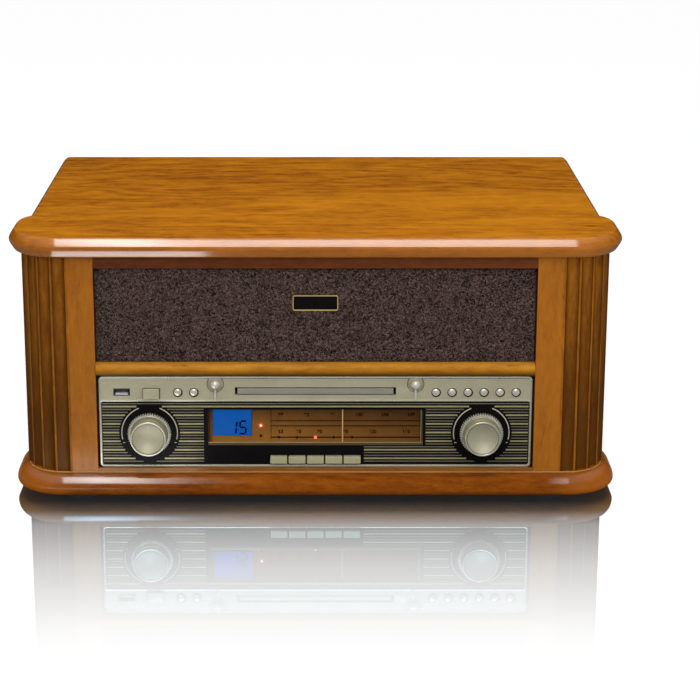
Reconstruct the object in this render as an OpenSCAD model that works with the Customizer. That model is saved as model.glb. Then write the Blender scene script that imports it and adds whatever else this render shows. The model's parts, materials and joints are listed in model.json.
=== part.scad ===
// Stereo music centre with a lift-up lid: record deck, disc tray, cassette slot and radio.
// Millimetres. Origin on the table under the middle of the case, front towards -Y, +Z up.

/* [Case] */
// Width over the rounded corners of the lid and of the plinth
case_w = 500; // [494:1:520]
// Depth of the lid and of the plinth
case_d = 350; // [348:1:360]
// Height of the rubber feet
foot_h = 5; // [4:0.5:8]
// Thickness of the moulded plinth board
plinth_t = 18; // [17:0.5:20]
// Height from the plinth to the underside of the lid
body_h = 183; // [183:1:200]
// Thickness of the lid board
lid_t = 16; // [15:0.5:18]
// Plan radius of the front corners of lid and plinth
corner_r = 43; // [38:1:46]
// Straight run of the corner ear at full width
ear_run = 26; // [20:1:32]
// Plan radius where the ear turns in at its back
ear_back_r = 33; // [28:1:38]
// How far the ear stands out beyond the straight side
ear_step = 9; // [6:0.5:11]
// Width of the quarter round on the top of the plinth
plinth_cove_w = 11; // [8:0.5:12]

/* [Cabinet] */
// Thickness of the side and back walls
wall_t = 9; // [8:0.5:10]
// Outer wall face inside the full width
wall_inset = 21; // [20:0.5:22]
// Front posts behind the front edge of the lid
face_inset = 11; // [10:0.5:12]
// Depth of the front frame
frame_t = 18; // [17:0.5:19]
// Distance between the two front posts
front_open_w = 358.6; // [358:0.1:360]
// Width of each front post
post_w = 21.2; // [20:0.1:22]
// Height of the rail above the grille
top_rail_h = 10.1; // [8:0.1:12]
// Height of the half-round bar between grille and control panel
bar_h = 12; // [11:0.5:12.5]
// Distance between the flutes of the corner columns
flute_pitch = 13; // [12:0.5:14]
// Depth of the flutes
flute_depth = 2.2; // [1.5:0.1:2.6]
// Radius of the rubber feet
foot_r = 12; // [9:0.5:14]

/* [Lid hinge and stay] */
// Distance of the hinges from the middle
hinge_x = 150; // [130:1:165]
// Length of each hinge
hinge_w = 50; // [44:1:60]
// Radius of the hinge pin
hinge_pin_r = 1.5; // [1.2:0.1:1.8]
// Length of the stay arm, which is also its distance from the hinge
stay_l = 80; // [70:1:82]
// Slope of the stay rail
stay_slope = 6; // [5:0.5:7]
// Angle to which the lid opens
lid_open = 60; // [50:1:60]
// Depth of the hollow under the lid
pocket_h = 8; // [8:0.5:9]

/* [Control panel] */
// Width of the control panel
panel_w = 355; // [353:0.5:356]
// Height of the control panel
panel_h = 77.6; // [77:0.1:77.8]
// Height of the plain strip along the top of the panel
strip_h = 21.2; // [20:0.1:22]
// Width of the raised rim round the striped field
rim_w = 1.6; // [1.2:0.1:2]
// Distance of each knob from the middle
knob_x = 136.6; // [134:0.1:138]
// Height of the knob centres above the bottom of the panel
knob_up = 29; // [28:0.1:30]
// Radius of the knurled skirt of a knob
skirt_r = 18; // [17:0.1:18.5]
// Radius of the cap of a knob
cap_r = 14.7; // [13:0.1:15.5]
// How far the knobs stand out from the panel
knob_out = 17; // [14:0.5:18]
// Radius of the knob shafts
shaft_r = 3; // [2.5:0.1:3.2]
// Width of the dial window
dial_w = 176.8; // [170:0.1:178]
// Height of the dial window
dial_h = 30.8; // [29:0.1:31]
// Bottom of the dial window above the bottom of the panel
dial_up = 18.3; // [18:0.1:19]
// Width of a source key
key_w = 14; // [13:0.1:14.2]
// Height of a source key
key_h = 6.3; // [5.5:0.1:6.4]
// Distance between the source keys
key_pitch = 15.15; // [15:0.05:15.5]
// Radius of the small round buttons
button_r = 3.1; // [2.8:0.1:3.2]
// Distance between the small round buttons
button_pitch = 13.1; // [12.5:0.1:13.3]
// Middle of the row of buttons above the bottom of the panel
button_up = 64.4; // [64:0.1:65]

/* [Disc tray] */
// Width of the tray front
tray_w = 128; // [126:1:128]
// Length of the tray
tray_l = 145; // [143:1:150]
// Radius of the disc recess
disc_r = 60.5; // [60.5:0.1:61]

/* [Record deck] */
// Spindle to the left of the middle
spindle_left = 50; // [48:1:52]
// Spindle behind the middle
spindle_back = 7; // [6:1:8]
// Radius of the spindle
spindle_r = 3.58; // [3.5:0.01:3.6]
// Radius of the platter
platter_r = 110; // [108:1:112]
// Radius of the ring that the belt drives
belt_ring_r = 70; // [66:1:72]
// Radius of the motor pulley
pulley_r = 5.5; // [5:0.1:6]
// Distance from the spindle to the motor
motor_off = 95; // [94:0.5:96]
// Distance from the tonearm pivot to the stylus
arm_l = 216; // [212:1:218]
// Angle of the tonearm on its rest, from straight ahead
arm_rest = 14.8; // [14:0.1:16]
// Radius of the tonearm tube
arm_r = 3; // [2.5:0.1:3.2]

/* [Cassette slot] */
// Width of the cassette slot
slot_w = 104; // [103:0.5:105]
// Height of the cassette slot
slot_h = 16; // [15:0.5:16.5]

/* [Hidden] */
$fn = 48;

eps = 0.01;
cut = 1;               // how far a cutter runs past a face
lid_gap = 0.4;         // gap between walls and lid
run_fit = 0.05;        // radial clearance of a turning shaft
fit = 0.3;             // clearance of pieces that pass through a hole

// Heights
z_body = foot_h + plinth_t;
z_lid = z_body + body_h;
z_rim = z_lid - lid_gap;

// Plan of the case
y_front = -case_d / 2;
y_back = case_d / 2;
face_y = y_front + face_inset;
back_y = y_back - 7;
frame_back_y = face_y + frame_t;
wall_x = case_w / 2 - wall_inset;
wall_in_x = wall_x - wall_t;
post_in_x = front_open_w / 2;
post_out_x = post_in_x + post_w;
back_t = wall_t - 1;

// Corner columns, set in from the edge of the lid
column_inset = 8;
column_r = case_w / 2 - column_inset - post_out_x;
column_c = [post_out_x, face_y + column_r];
column_side_x = column_c[0] + column_r;
column_run = 16;
column_back_r = 24;
column_turn = acos((wall_x - column_side_x + column_back_r) / column_back_r);
column_end_y = column_c[1] + column_run + column_back_r * sin(column_turn);
flute_points = 8;
fillet_share = 0.12;

// Control panel
panel_y = face_y + 3;
panel_z = z_body + 3.2;
panel_top = panel_z + panel_h;
plate_t = 4;
flange_t = 2;
field_top = panel_top - strip_h;
field_y = panel_y + 0.8;
field_t = 1;
panel_back_y = panel_y + plate_t;
grille_z = panel_top + 0.2 + bar_h;
grille_top = z_rim - top_rail_h;
knob_z = panel_z + knob_up;
dial_z = panel_z + dial_up;
key_z = panel_z + 6.4;
button_z = panel_z + button_up;
power_x = -134.6;
power_z = button_z - 1.2;
power_w = 13.2;
power_h = 8.4;
left_buttons = [-112.9, -99.8];
right_button_x = 98.7;
usb_x = -158.7;
usb_w = 13.1;
usb_h = 5.7;
pin_x = 82;
pin_z = panel_top - 6.4;
recess_r = 6.1;
slot_half_w = 66;
tray_slot_z = panel_top - 15.8;
tray_slot_h = 6.7;
tray_z = tray_slot_z + 0.5;
tray_face_h = 5.1;
tray_y = panel_y + 1.5;

// Dial: scale plate, pointer and indicator lamps
scale_y = panel_back_y + 3;
pointer_x = 22.4;
pointer_y = panel_back_y + 0.5;
pointer_rail_z = dial_z - 3.8;
pointer_rail_r = 1;
lcd_x = -84.8;
lcd_w = 32.1;
lcd_z = dial_z + 6.5;
lcd_h = 24;
lamp_x = -45.1;
lamp_z = [dial_z + 15.4, dial_z + 6.2];
source_lamp_z = dial_z + 5;

// Grille and loudspeakers
baffle_y = face_y + 7;
baffle_t = 6;
cloth_t = 2;
speaker_x = 115;
speaker_z = grille_z + 25;
speaker_r = 33;

// Record deck
deck_z = z_rim - 29.6;
deck_t = 2.5;
deck_front_y = frame_back_y + 0.5;
spindle = [-spindle_left, spindle_back];
platter_z = deck_z + 2.5;
platter_h = 10;
mat_z = platter_z + platter_h;
mat_t = 1.5;
record_z = mat_z + mat_t;
label_z = record_z - 0.4;
boss_r = 5;
spindle_top = record_z + 8;
motor_dir = 135;
motor_at = spindle + motor_off * [cos(motor_dir), sin(motor_dir)];
belt_t = 0.7;
belt_h = 4;
arm_at = [135, 95];
arm_z = deck_z + 26;
yoke_z = deck_z + 11.8;
cue_at = [166, 65];
cue_z = deck_z + 10;
selector_at = [190, -60];

// Lid hinge and stay
hinge_y = back_y + 3.4;
hinge_z = z_lid;
knuckle_r = 3;
knuckle_gap = 0.3;
fixed_knuckle_w = hinge_w * 0.35;
leaf_t = 1.4;
stay_x = wall_in_x - 12;
stay_t = 2;
stay_half = 5;
rail_x = stay_x + stay_t + 2.3;
slide_r = 1.9;
stay_pivot_y = hinge_y - stay_l;
rail_far = 2 * stay_l * cos(stay_slope);
rail_near = 2 * stay_l * cos(stay_slope + lid_open);
pocket_x = wall_in_x - 6;
pocket_y = y_front + 26;
pocket_back_y = back_y - 10;

// Cassette slot in the right wall
slot_y = 40;
slot_z = z_body + 81;
slot_mid_z = slot_z + slot_h / 2;
flap_x = wall_in_x - 3;
flap_t = 1.6;
flap_axis_z = slot_z + slot_h + 1.3;
chamber_z = slot_z - 0.8;
chamber_top = slot_z + slot_h + 2.8;
chamber_back_x = wall_in_x - 74;
eject_y = slot_y + slot_w / 2 + 16;

// Rear connections
jack_x = [-180, -160];
gland_x = -125;
jack_z = z_body + 47;
jack_plate_t = 1.6;
jack_tip_y = -(panel_y - knob_out);

// ---- helpers ----

// A cylinder from y towards the front
module to_front(x, y, z, r, l) {
    translate([x, y, z]) rotate([90, 0, 0]) cylinder(r = r, h = l);
}

// A cylinder along +X from x
module to_right(x, y, z, r, l) {
    translate([x, y, z]) rotate([0, 90, 0]) cylinder(r = r, h = l);
}

// A block between two corners
module block(low, high) {
    translate(low) cube(high - low);
}

// A slab that faces the front, with round corners of radius r
module front_slab(x0, x1, z0, z1, r, y, t) {
    translate([0, y + t, 0]) rotate([90, 0, 0]) linear_extrude(t) union() {
        translate([x0 + r, z0]) square([x1 - x0 - 2 * r, z1 - z0]);
        translate([x0, z0 + r]) square([x1 - x0, z1 - z0 - 2 * r]);
        for (x = [x0 + r, x1 - r], z = [z0 + r, z1 - r]) translate([x, z]) circle(r);
    }
}

// ---- moulded boards: lid and plinth ----

corner_steps = 10;
turn_steps = 7;

// Half of the plan, from the middle of the front round the right corner, set in by i
function half_plan(i) =
    let (r1 = corner_r - i, r2 = ear_back_r - i,
         c1 = [case_w / 2 - corner_r, y_front + corner_r],
         c2 = [case_w / 2 - ear_back_r, y_front + corner_r + ear_run],
         side = case_w / 2 - ear_step - i,
         turn = acos((side - c2[0]) / r2))
    concat(
        [for (k = [0:corner_steps]) let (a = 90 * k / corner_steps) c1 + r1 * [sin(a), -cos(a)]],
        [for (k = [0:turn_steps]) c2 + r2 * [cos(turn * k / turn_steps), sin(turn * k / turn_steps)]],
        [[side, y_back]]);

function reversed(list) = [for (k = [len(list) - 1:-1:0]) list[k]];

function plan(i) = let (h = half_plan(i)) concat(h, [for (p = reversed(h)) [-p[0], p[1]]]);

// A board whose edge follows profile, a list of [set in, height] from the bottom up
module moulded_board(profile) {
    rings = [for (p = profile) [for (q = plan(p[0])) [q[0], q[1], p[1]]]];
    n = len(rings[0]);
    m = len(rings);
    points = [for (ring = rings) for (q = ring) q];
    walls = [for (j = [0:m - 2]) for (k = [0:n - 1]) for (half = [0, 1])
        let (a = j * n + k, b = j * n + (k + 1) % n)
        half == 0 ? [a, b + n, b] : [a, a + n, b + n]];
    bottom = [[for (k = [0:n - 1]) k]];
    top = [[for (k = [n - 1:-1:0]) (m - 1) * n + k]];
    polyhedron(points, concat(bottom, walls, top), convexity = 6);
}

edge_steps = 5;

// A full half round for the lid
lid_profile = [for (k = [-edge_steps:edge_steps]) let (a = 90 * k / edge_steps)
    [lid_t / 2 * (1 - cos(a)), lid_t / 2 * (1 + sin(a))]];

// A small round below and a wide one above for the plinth
plinth_low_r = 7.5;
plinth_profile = concat(
    [for (k = [-edge_steps:0]) let (a = 90 * k / edge_steps)
        [plinth_low_r * (1 - cos(a)), plinth_low_r * (1 + sin(a))]],
    [for (k = [1:edge_steps]) let (a = 90 * k / edge_steps)
        [plinth_cove_w * (1 - cos(a)), plinth_low_r + (plinth_t - plinth_low_r) * sin(a)]]);

module lid_panel() {
    color("peru") difference() {
        translate([0, 0, z_lid]) moulded_board(lid_profile);
        block([-pocket_x, pocket_y, z_lid - cut], [pocket_x, pocket_back_y, z_lid + pocket_h]);
        for (x = [-hinge_x, hinge_x])
            block([x - hinge_w / 2 - 0.5, pocket_back_y - cut, z_lid - cut],
                  [x + hinge_w / 2 + 0.5, y_back + cut, z_lid + knuckle_r + 0.4]);
    }
}

module plinth() {
    color("sienna") translate([0, 0, foot_h]) moulded_board(plinth_profile);
}

// ---- cabinet ----

cleat_w = 10;

module side_panels() {
    color("peru") difference() {
        for (side = [-1, 1]) union() {
            translate([side > 0 ? wall_in_x : -wall_x, column_end_y + 0.2, z_body])
                cube([wall_t, back_y - back_t - column_end_y - 0.2, z_rim - z_body]);
            translate([side > 0 ? wall_in_x - cleat_w : -wall_in_x - eps, -60,
                  deck_z - deck_t - cleat_w])
                cube([cleat_w + eps, 200, cleat_w]);
        }
        block([wall_in_x - cut, slot_y - slot_w / 2, slot_z],
              [wall_x + cut, slot_y + slot_w / 2, slot_z + slot_h]);
        to_right(wall_in_x - cut, eject_y, slot_mid_z, 4.3, wall_t + 2 * cut);
        screw_places() to_front(0, back_y + cut, 0, 1.6, back_t + 16 + cut);
    }
}

// Where the screws of the back panel go
module screw_places() {
    for (side = [-1, 1], z = [12, 66, 120, 172])
        translate([side * (wall_x - wall_t / 2), 0, z_body + z]) children();
}

// Point on the outline of a column at length s from the post, set in by d
column_quarter = column_r * PI / 2;
column_length = column_quarter + column_run + column_back_r * column_turn * PI / 180;
function column_point(s, d) =
    s < column_quarter
    ? let (a = s / column_r * 180 / PI) column_c + (column_r - d) * [sin(a), -cos(a)]
    : s < column_quarter + column_run
    ? [column_side_x - d, column_c[1] + s - column_quarter]
    : let (a = (s - column_quarter - column_run) / column_back_r * 180 / PI)
      [column_side_x - column_back_r, column_c[1] + column_run]
      + (column_back_r - d) * [cos(a), sin(a)];

// Depth of the fluting at length s: round hollows with a narrow flat between them
function flute(s) =
    let (u = s / flute_pitch - floor(s / flute_pitch), v = (u - fillet_share) / (1 - fillet_share))
    v <= 0 ? 0 : flute_depth * (1 - pow(2 * v - 1, 2));

module fluted_columns() {
    step = flute_pitch / flute_points;
    count = floor(column_length / step);
    outer = [for (k = [0:count]) let (s = k * step) column_point(s, flute(s))];
    inner = [[wall_x, column_end_y], [wall_in_x, column_end_y], [wall_in_x - 6, column_end_y - 20],
        [post_out_x, column_end_y - 36]];
    color("saddlebrown") for (side = [0, 1]) mirror([side, 0, 0])
        translate([0, 0, z_body]) linear_extrude(z_rim - z_body) polygon(concat(outer, inner));
}

module front_frame() {
    color("peru") difference() {
        block([-post_out_x, face_y, z_body], [post_out_x, frame_back_y, z_rim]);
        block([-post_in_x, face_y - cut, z_body + 3], [post_in_x, frame_back_y + cut, grille_top]);
    }
}

module divider_bar() {
    half = bar_h / 2;
    mid_y = face_y + half - 1;
    color("goldenrod") translate([-post_in_x + 0.1, 0, grille_z - half]) rotate([90, 0, 90])
        linear_extrude(front_open_w - 0.2) union() {
            difference() {
                translate([mid_y, 0]) circle(half);
                translate([mid_y, -half - cut]) square([bar_h, bar_h + 2 * cut]);
            }
            translate([mid_y - eps, -half]) square([baffle_y - 0.2 - mid_y + eps, bar_h]);
        }
}

module back_panel() {
    color("tan") difference() {
        block([-wall_x, back_y - back_t, z_body], [wall_x, back_y, z_rim]);
        screw_places() to_front(0, back_y + cut, 0, 1.6, back_t + 2 * cut);
        block([jack_x[0] - 8, back_y - back_t - cut, jack_z - 8],
              [jack_x[1] + 8, back_y + cut, jack_z + 8]);
        to_front(gland_x, back_y + cut, jack_z, 6.2, back_t + 2 * cut);
        for (k = [0:5])
            block([20 + 14 * k, back_y - back_t - cut, jack_z - 15],
                  [26 + 14 * k, back_y + cut, jack_z + 15]);
    }
}

module feet() {
    color("dimgray") for (x = [-195, 195], y = [-140, 140])
        translate([x, y, 0]) cylinder(r = foot_r, h = foot_h);
}

module cabinet_screws() {
    color("silver") screw_places() {
        to_front(0, back_y + 1.8, 0, 3.3, 1.8);
        to_front(0, back_y + eps, 0, 1.5, back_t + 14);
    }
}

// ---- lid hinges and stay ----

module hinge_leaves() {
    color("goldenrod") for (x = [-hinge_x, hinge_x]) difference() {
        union() {
            block([x - hinge_w / 2, back_y, hinge_z - 21],
                  [x + hinge_w / 2, back_y + leaf_t, hinge_z - 4]);
            block([x - fixed_knuckle_w / 2, back_y, hinge_z - 5],
                  [x + fixed_knuckle_w / 2, back_y + leaf_t, hinge_z]);
            to_right(x - fixed_knuckle_w / 2, hinge_y, hinge_z, knuckle_r, fixed_knuckle_w);
        }
        to_right(x - hinge_w / 2, hinge_y, hinge_z, hinge_pin_r + run_fit, hinge_w);
    }
}

module lid_leaves() {
    knuckle_w = (hinge_w - fixed_knuckle_w) / 2 - knuckle_gap;
    leaf_z = hinge_z + knuckle_r + 0.4 - leaf_t;
    color("goldenrod") {
        for (x = [-hinge_x, hinge_x]) union() {
            block([x - hinge_w / 2, pocket_back_y + 2, leaf_z],
                  [x + hinge_w / 2, hinge_y - knuckle_r - 0.4, leaf_z + leaf_t]);
            for (x0 = [x - hinge_w / 2, x + hinge_w / 2 - knuckle_w]) {
                block([x0, hinge_y - 4, leaf_z], [x0 + knuckle_w, hinge_y, leaf_z + leaf_t]);
                to_right(x0, hinge_y, hinge_z, knuckle_r, knuckle_w);
            }
            to_right(x - hinge_w / 2, hinge_y, hinge_z, hinge_pin_r, hinge_w);
        }
        // bracket and pivot of the stay
        union() {
            block([stay_x - 3, stay_pivot_y - 6, z_lid - 4],
                  [stay_x - 0.4, stay_pivot_y + 6, z_lid + pocket_h]);
            to_right(stay_x - 1, stay_pivot_y, hinge_z, 2, stay_t + 2);
        }
    }
}

module on_rail() {
    translate([0, hinge_y, hinge_z]) rotate([stay_slope, 0, 0]) children();
}

module stay_rail() {
    color("silver") on_rail() difference() {
        block([rail_x, -rail_far - 8, -6], [wall_in_x, -rail_near + 8, 6]);
        for (t = [rail_far, rail_near]) to_right(rail_x - cut, -t, 0, slide_r + fit, 6 + cut);
        block([rail_x - cut, -rail_far, -slide_r - fit], [rail_x + 6, -rail_near, slide_r + fit]);
    }
}

module lid_stay() {
    color("silver") translate([stay_x, stay_pivot_y, hinge_z]) rotate([2 * stay_slope, 0, 0])
        difference() {
            union() {
                for (t = [0, stay_l]) to_right(0, -t, 0, stay_half, stay_t);
                block([0, -stay_l, -stay_half], [stay_t, 0, stay_half]);
                to_right(0, -stay_l, 0, slide_r, rail_x - stay_x + 5);
            }
            to_right(-cut, 0, 0, 2 + run_fit, stay_t + 2 * cut);
        }
}

// ---- grille and loudspeakers ----

module speaker_baffle() {
    color("dimgray") difference() {
        block([-post_in_x + 0.3, baffle_y, panel_top + 1.2],
              [post_in_x - 0.3, baffle_y + baffle_t, grille_top - 0.2]);
        for (x = [-speaker_x, speaker_x])
            to_front(x, baffle_y + baffle_t + cut, speaker_z, speaker_r - 8.2, baffle_t + 2 * cut);
    }
}

module grille_cloth() {
    color("#4a3b38") block([-post_in_x + 0.3, baffle_y - cloth_t, grille_z + 0.2],
                           [post_in_x - 0.3, baffle_y, grille_top - 0.2]);
}

badge_w = 37;
badge_h = 12.8;
badge_z = grille_z + 49.7;

module badge_plate() {
    color("goldenrod") difference() {
        front_slab(-badge_w / 2, badge_w / 2, badge_z - badge_h / 2, badge_z + badge_h / 2, 1.5,
                   baffle_y - cloth_t - 1.4, 1.4);
        front_slab(-badge_w / 2 + 1, badge_w / 2 - 1, badge_z - badge_h / 2 + 1,
                   badge_z + badge_h / 2 - 1, 0.8, baffle_y - cloth_t - 1.4 - cut, cut + 0.4);
    }
}

module speaker_drivers() {
    y = baffle_y + baffle_t;
    color("darkslategray") for (x = [-speaker_x, speaker_x])
        translate([x, y, speaker_z]) rotate([-90, 0, 0]) {
            difference() {
                union() {
                    cylinder(r = speaker_r, h = 2);
                    cylinder(r1 = 29, r2 = 15, h = 17);
                    translate([0, 0, 16]) cylinder(r = 17, h = 14);
                }
                translate([0, 0, -cut]) cylinder(r1 = 27.5, r2 = 9, h = 14);
            }
            translate([0, 0, 11]) sphere(r = 8);
        }
}

// ---- control panel ----

module dial_cut(y, t) {
    block([-dial_w / 2, y, dial_z], [dial_w / 2, y + t, dial_z + dial_h]);
}

module key_cuts(y, t) {
    for (k = [-2:2])
        block([k * key_pitch - key_w / 2 - fit, y, key_z - key_h / 2 - fit],
              [k * key_pitch + key_w / 2 + fit, y + t, key_z + key_h / 2 + fit]);
}

right_buttons = [for (k = [0:5]) right_button_x + k * button_pitch];
round_buttons = concat(left_buttons, right_buttons);

module fascia_bezel() {
    w = panel_w / 2;
    color("darkkhaki") difference() {
        union() {
            front_slab(-w, w, panel_z, panel_top, 3, panel_y, plate_t);
            difference() {
                block([-post_in_x + 0.3, panel_back_y - eps, panel_z],
                      [post_in_x - 0.3, panel_back_y + flange_t, panel_top]);
                block([-w + 6, panel_back_y - cut, panel_z + 1.8],
                      [w - 6, panel_back_y + flange_t + cut, panel_top - 4]);
            }
            for (x = round_buttons) to_front(x, panel_y + 1, button_z, button_r + 0.9, 1.4);
        }
        front_slab(-w + rim_w, w - rim_w, panel_z + rim_w, field_top, 2,
                   panel_y - cut, cut + field_y + field_t - panel_y);
        dial_cut(panel_y, plate_t + cut);
        key_cuts(panel_y, plate_t + cut);
        for (x = [-knob_x, knob_x])
            to_front(x, panel_back_y + cut, knob_z, shaft_r + run_fit, plate_t + cut);
        for (x = round_buttons)
            to_front(x, panel_back_y + cut, button_z, button_r + 0.25, plate_t + 2 + cut);
        front_slab(power_x - power_w / 2 - fit, power_x + power_w / 2 + fit,
                   power_z - power_h / 2 - fit, power_z + power_h / 2 + fit, 0.8,
                   panel_y - cut, plate_t + 2 * cut);
        block([usb_x - usb_w / 2 - fit, panel_y - cut, button_z - usb_h / 2 - fit],
              [usb_x + usb_w / 2 + fit, panel_back_y + cut, button_z + usb_h / 2 + fit]);
        block([-slot_half_w, panel_y - cut, tray_slot_z],
              [slot_half_w, panel_back_y + flange_t + cut, tray_slot_z + tray_slot_h]);
        for (x = [-pin_x, pin_x]) {
            to_front(x, panel_y + 2.2, pin_z + 0.4, recess_r, 4);
            block([x - recess_r, panel_y - cut, pin_z + 0.4],
                  [x + recess_r, panel_y + 2.2, panel_top + cut]);
        }
    }
}

module stripe_plate() {
    w = panel_w / 2 - rim_w - 0.2;
    color("#1c1a17") difference() {
        front_slab(-w, w, panel_z + rim_w + 0.2, field_top - 0.2, 1.8, field_y, field_t);
        dial_cut(field_y - cut, field_t + 2 * cut);
        key_cuts(field_y - cut, field_t + 2 * cut);
        for (x = [-knob_x, knob_x])
            to_front(x, field_y + field_t + cut, knob_z, shaft_r + fit, field_t + 2 * cut);
    }
}

module dial_window() {
    color("khaki", 0.4) block([-dial_w / 2 + 0.15, field_y + 0.1, dial_z + 0.15],
                              [dial_w / 2 - 0.15, field_y + 1.3, dial_z + dial_h - 0.15]);
}

module lamp_places() {
    for (z = lamp_z) translate([lamp_x, 0, z]) children();
    for (k = [-2:2]) translate([k * key_pitch, 0, source_lamp_z]) children();
}

module dial_scale() {
    rail_z = pointer_rail_z;
    color("peru") {
        difference() {
            block([-dial_w / 2 - 2, scale_y, dial_z - 0.9],
                  [dial_w / 2 + 2, scale_y + 1, dial_z + dial_h + 1.5]);
            block([lcd_x - fit, scale_y - cut, lcd_z - fit],
                  [lcd_x + lcd_w + fit, scale_y + 1 + cut, lcd_z + lcd_h + fit]);
            lamp_places() to_front(0, scale_y + 1 + cut, 0, 1.3, 1 + 2 * cut);
        }
        for (x = [-52, 94])
            block([x, panel_back_y + 0.1, rail_z - 2.7], [x + 3, scale_y + 1, dial_z - 0.9 + eps]);
        to_right(-50, scale_y, rail_z, pointer_rail_r, 145);
    }
}

module dial_pointer() {
    color("orange") difference() {
        union() {
            block([pointer_x - 0.45, pointer_y, dial_z - 2],
                  [pointer_x + 0.45, pointer_y + 0.8, dial_z + dial_h + 0.5]);
            block([pointer_x - 6, pointer_y, pointer_rail_z - 2.2],
                  [pointer_x + 6, scale_y + 2.2, pointer_rail_z + 2.2]);
        }
        to_right(pointer_x - 6 - cut, scale_y, pointer_rail_z, pointer_rail_r + run_fit, 12 + 2 * cut);
    }
}

board_y = scale_y + 3.8;
board_t = 1.6;
button_board_y = panel_back_y + 5;

module display_board() {
    color("darkgreen") {
        block([-dial_w / 2 - 2, board_y, dial_z - 0.5],
              [dial_w / 2 + 2, board_y + board_t, dial_z + dial_h - 6]);
        block([lcd_x, scale_y - 1, lcd_z], [lcd_x + lcd_w, board_y, lcd_z + lcd_h]);
        lamp_places() to_front(0, board_y + eps, 0, 1, board_y - scale_y);
        for (side = [-1, 1])
            block([side > 0 ? 92 : -150, button_board_y, button_z - 6],
                  [side > 0 ? 170 : -92, button_board_y + board_t, button_z + 6]);
        for (x = round_buttons)
            block([x - 2.5, button_board_y - 1, button_z - 2.5],
                  [x + 2.5, button_board_y + eps, button_z + 2.5]);
        block([power_x - 3, button_board_y - 1, power_z - 3],
              [power_x + 3, button_board_y + eps, power_z + 3]);
    }
}

// Outline of a knurled edge: teeth shallow grooves
function knurl(r, depth, teeth) = [for (k = [0:2 * teeth - 1]) let (a = 180 * k / teeth)
    (r - (k % 2) * depth) * [cos(a), sin(a)]];

skirt_t = 6;
knob_y = field_y - 0.8;

module knob(shaft_l) {
    cap_h = knob_out - (panel_y - knob_y) - skirt_t;
    rotate([90, 0, 0]) {
        linear_extrude(skirt_t) polygon(knurl(skirt_r, 0.6, 54));
        translate([0, 0, skirt_t - eps]) cylinder(r1 = skirt_r - 1.6, r2 = cap_r + 0.9, h = 2);
        difference() {
            translate([0, 0, skirt_t]) union() {
                cylinder(r = cap_r, h = cap_h - 1.5);
                translate([0, 0, cap_h - 1.5]) cylinder(r1 = cap_r, r2 = cap_r - 1.2, h = 1.5);
            }
            translate([0, 0, skirt_t + cap_h + 118.8]) sphere(r = 120, $fn = 96);
        }
        translate([0, 0, -shaft_l]) cylinder(r = shaft_r, h = shaft_l + eps);
    }
}

module volume_knob() {
    color("darkkhaki") difference() {
        translate([-knob_x, knob_y, knob_z]) knob(16);
        translate([-knob_x, panel_y - knob_out + 0.3, knob_z + cap_r - 3.4]) sphere(r = 0.8, $fn = 24);
    }
}

cord_drum_r = 6.1;

module tuning_knob() {
    color("darkkhaki") union() {
        translate([knob_x, knob_y, knob_z]) knob(20);
        to_front(knob_x, panel_back_y + 12, knob_z, cord_drum_r, 5);
    }
}

module trim_pins() {
    color("gainsboro") for (x = [-pin_x, pin_x]) union() {
        translate([x, panel_y - 1.8, pin_z]) sphere(r = 3.9);
        to_front(x, panel_y + 2.2, pin_z, 1.6, 3);
        block([x - 0.9, panel_y - 1.2, pin_z - 13.9], [x + 0.9, panel_y, pin_z - 2]);
    }
}

module power_button() {
    color("darkkhaki") union() {
        front_slab(power_x - power_w / 2, power_x + power_w / 2,
                   power_z - power_h / 2, power_z + power_h / 2, 0.6,
                   panel_y - 2.5, panel_back_y - panel_y + 2.8);
        block([power_x - 7.6, panel_back_y + 0.2, power_z - 5],
              [power_x + 7.6, panel_back_y + 1.2, power_z + 5]);
    }
}

module round_button(x) {
    color("gainsboro") translate([x, panel_y - 2, button_z]) rotate([-90, 0, 0]) union() {
        intersection() {
            cylinder(r = button_r, h = 6.3);
            translate([0, 0, 4.2]) sphere(r = 4.2);
        }
        translate([0, 0, 3]) cylinder(r = button_r, h = 3.3);
        translate([0, 0, 6.2]) cylinder(r = button_r + 1, h = 1);
        translate([0, 0, 7]) cylinder(r = 1.2, h = 2.1);
    }
}

module mode_button() { round_button(round_buttons[0]); }
module repeat_button() { round_button(round_buttons[1]); }
module open_button() { round_button(round_buttons[2]); }
module stop_button() { round_button(round_buttons[3]); }
module play_button() { round_button(round_buttons[4]); }
module back_button() { round_button(round_buttons[5]); }
module forward_button() { round_button(round_buttons[6]); }
module memory_button() { round_button(round_buttons[7]); }

key_out = 2.8;
key_shank_y = panel_back_y + 10;

module source_key(k) {
    x = k * key_pitch;
    color("darkkhaki") union() {
        block([x - key_w / 2, panel_y - key_out, key_z - key_h / 2],
              [x + key_w / 2, panel_y + 2.5, key_z + key_h / 2]);
        block([x - 4, panel_y + 2, key_z - 2], [x + 4, key_shank_y, key_z + 2]);
    }
}

module am_key() { source_key(-2); }
module fm_key() { source_key(-1); }
module disc_key() { source_key(0); }
module tape_key() { source_key(1); }
module phono_key() { source_key(2); }

module usb_socket() {
    y = panel_y + 0.4;
    color("silver") {
        difference() {
            block([usb_x - usb_w / 2, y, button_z - usb_h / 2],
                  [usb_x + usb_w / 2, y + 14.5, button_z + usb_h / 2]);
            block([usb_x - usb_w / 2 + 0.5, y - cut, button_z - usb_h / 2 + 0.5],
                  [usb_x + usb_w / 2 - 0.5, y + 13.5, button_z + usb_h / 2 - 0.5]);
        }
        block([usb_x - 5.2, y + 2, button_z + 0.2], [usb_x + 5.2, y + 14, button_z + 1.8]);
    }
}

// ---- rear connections and electronics ----

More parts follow.
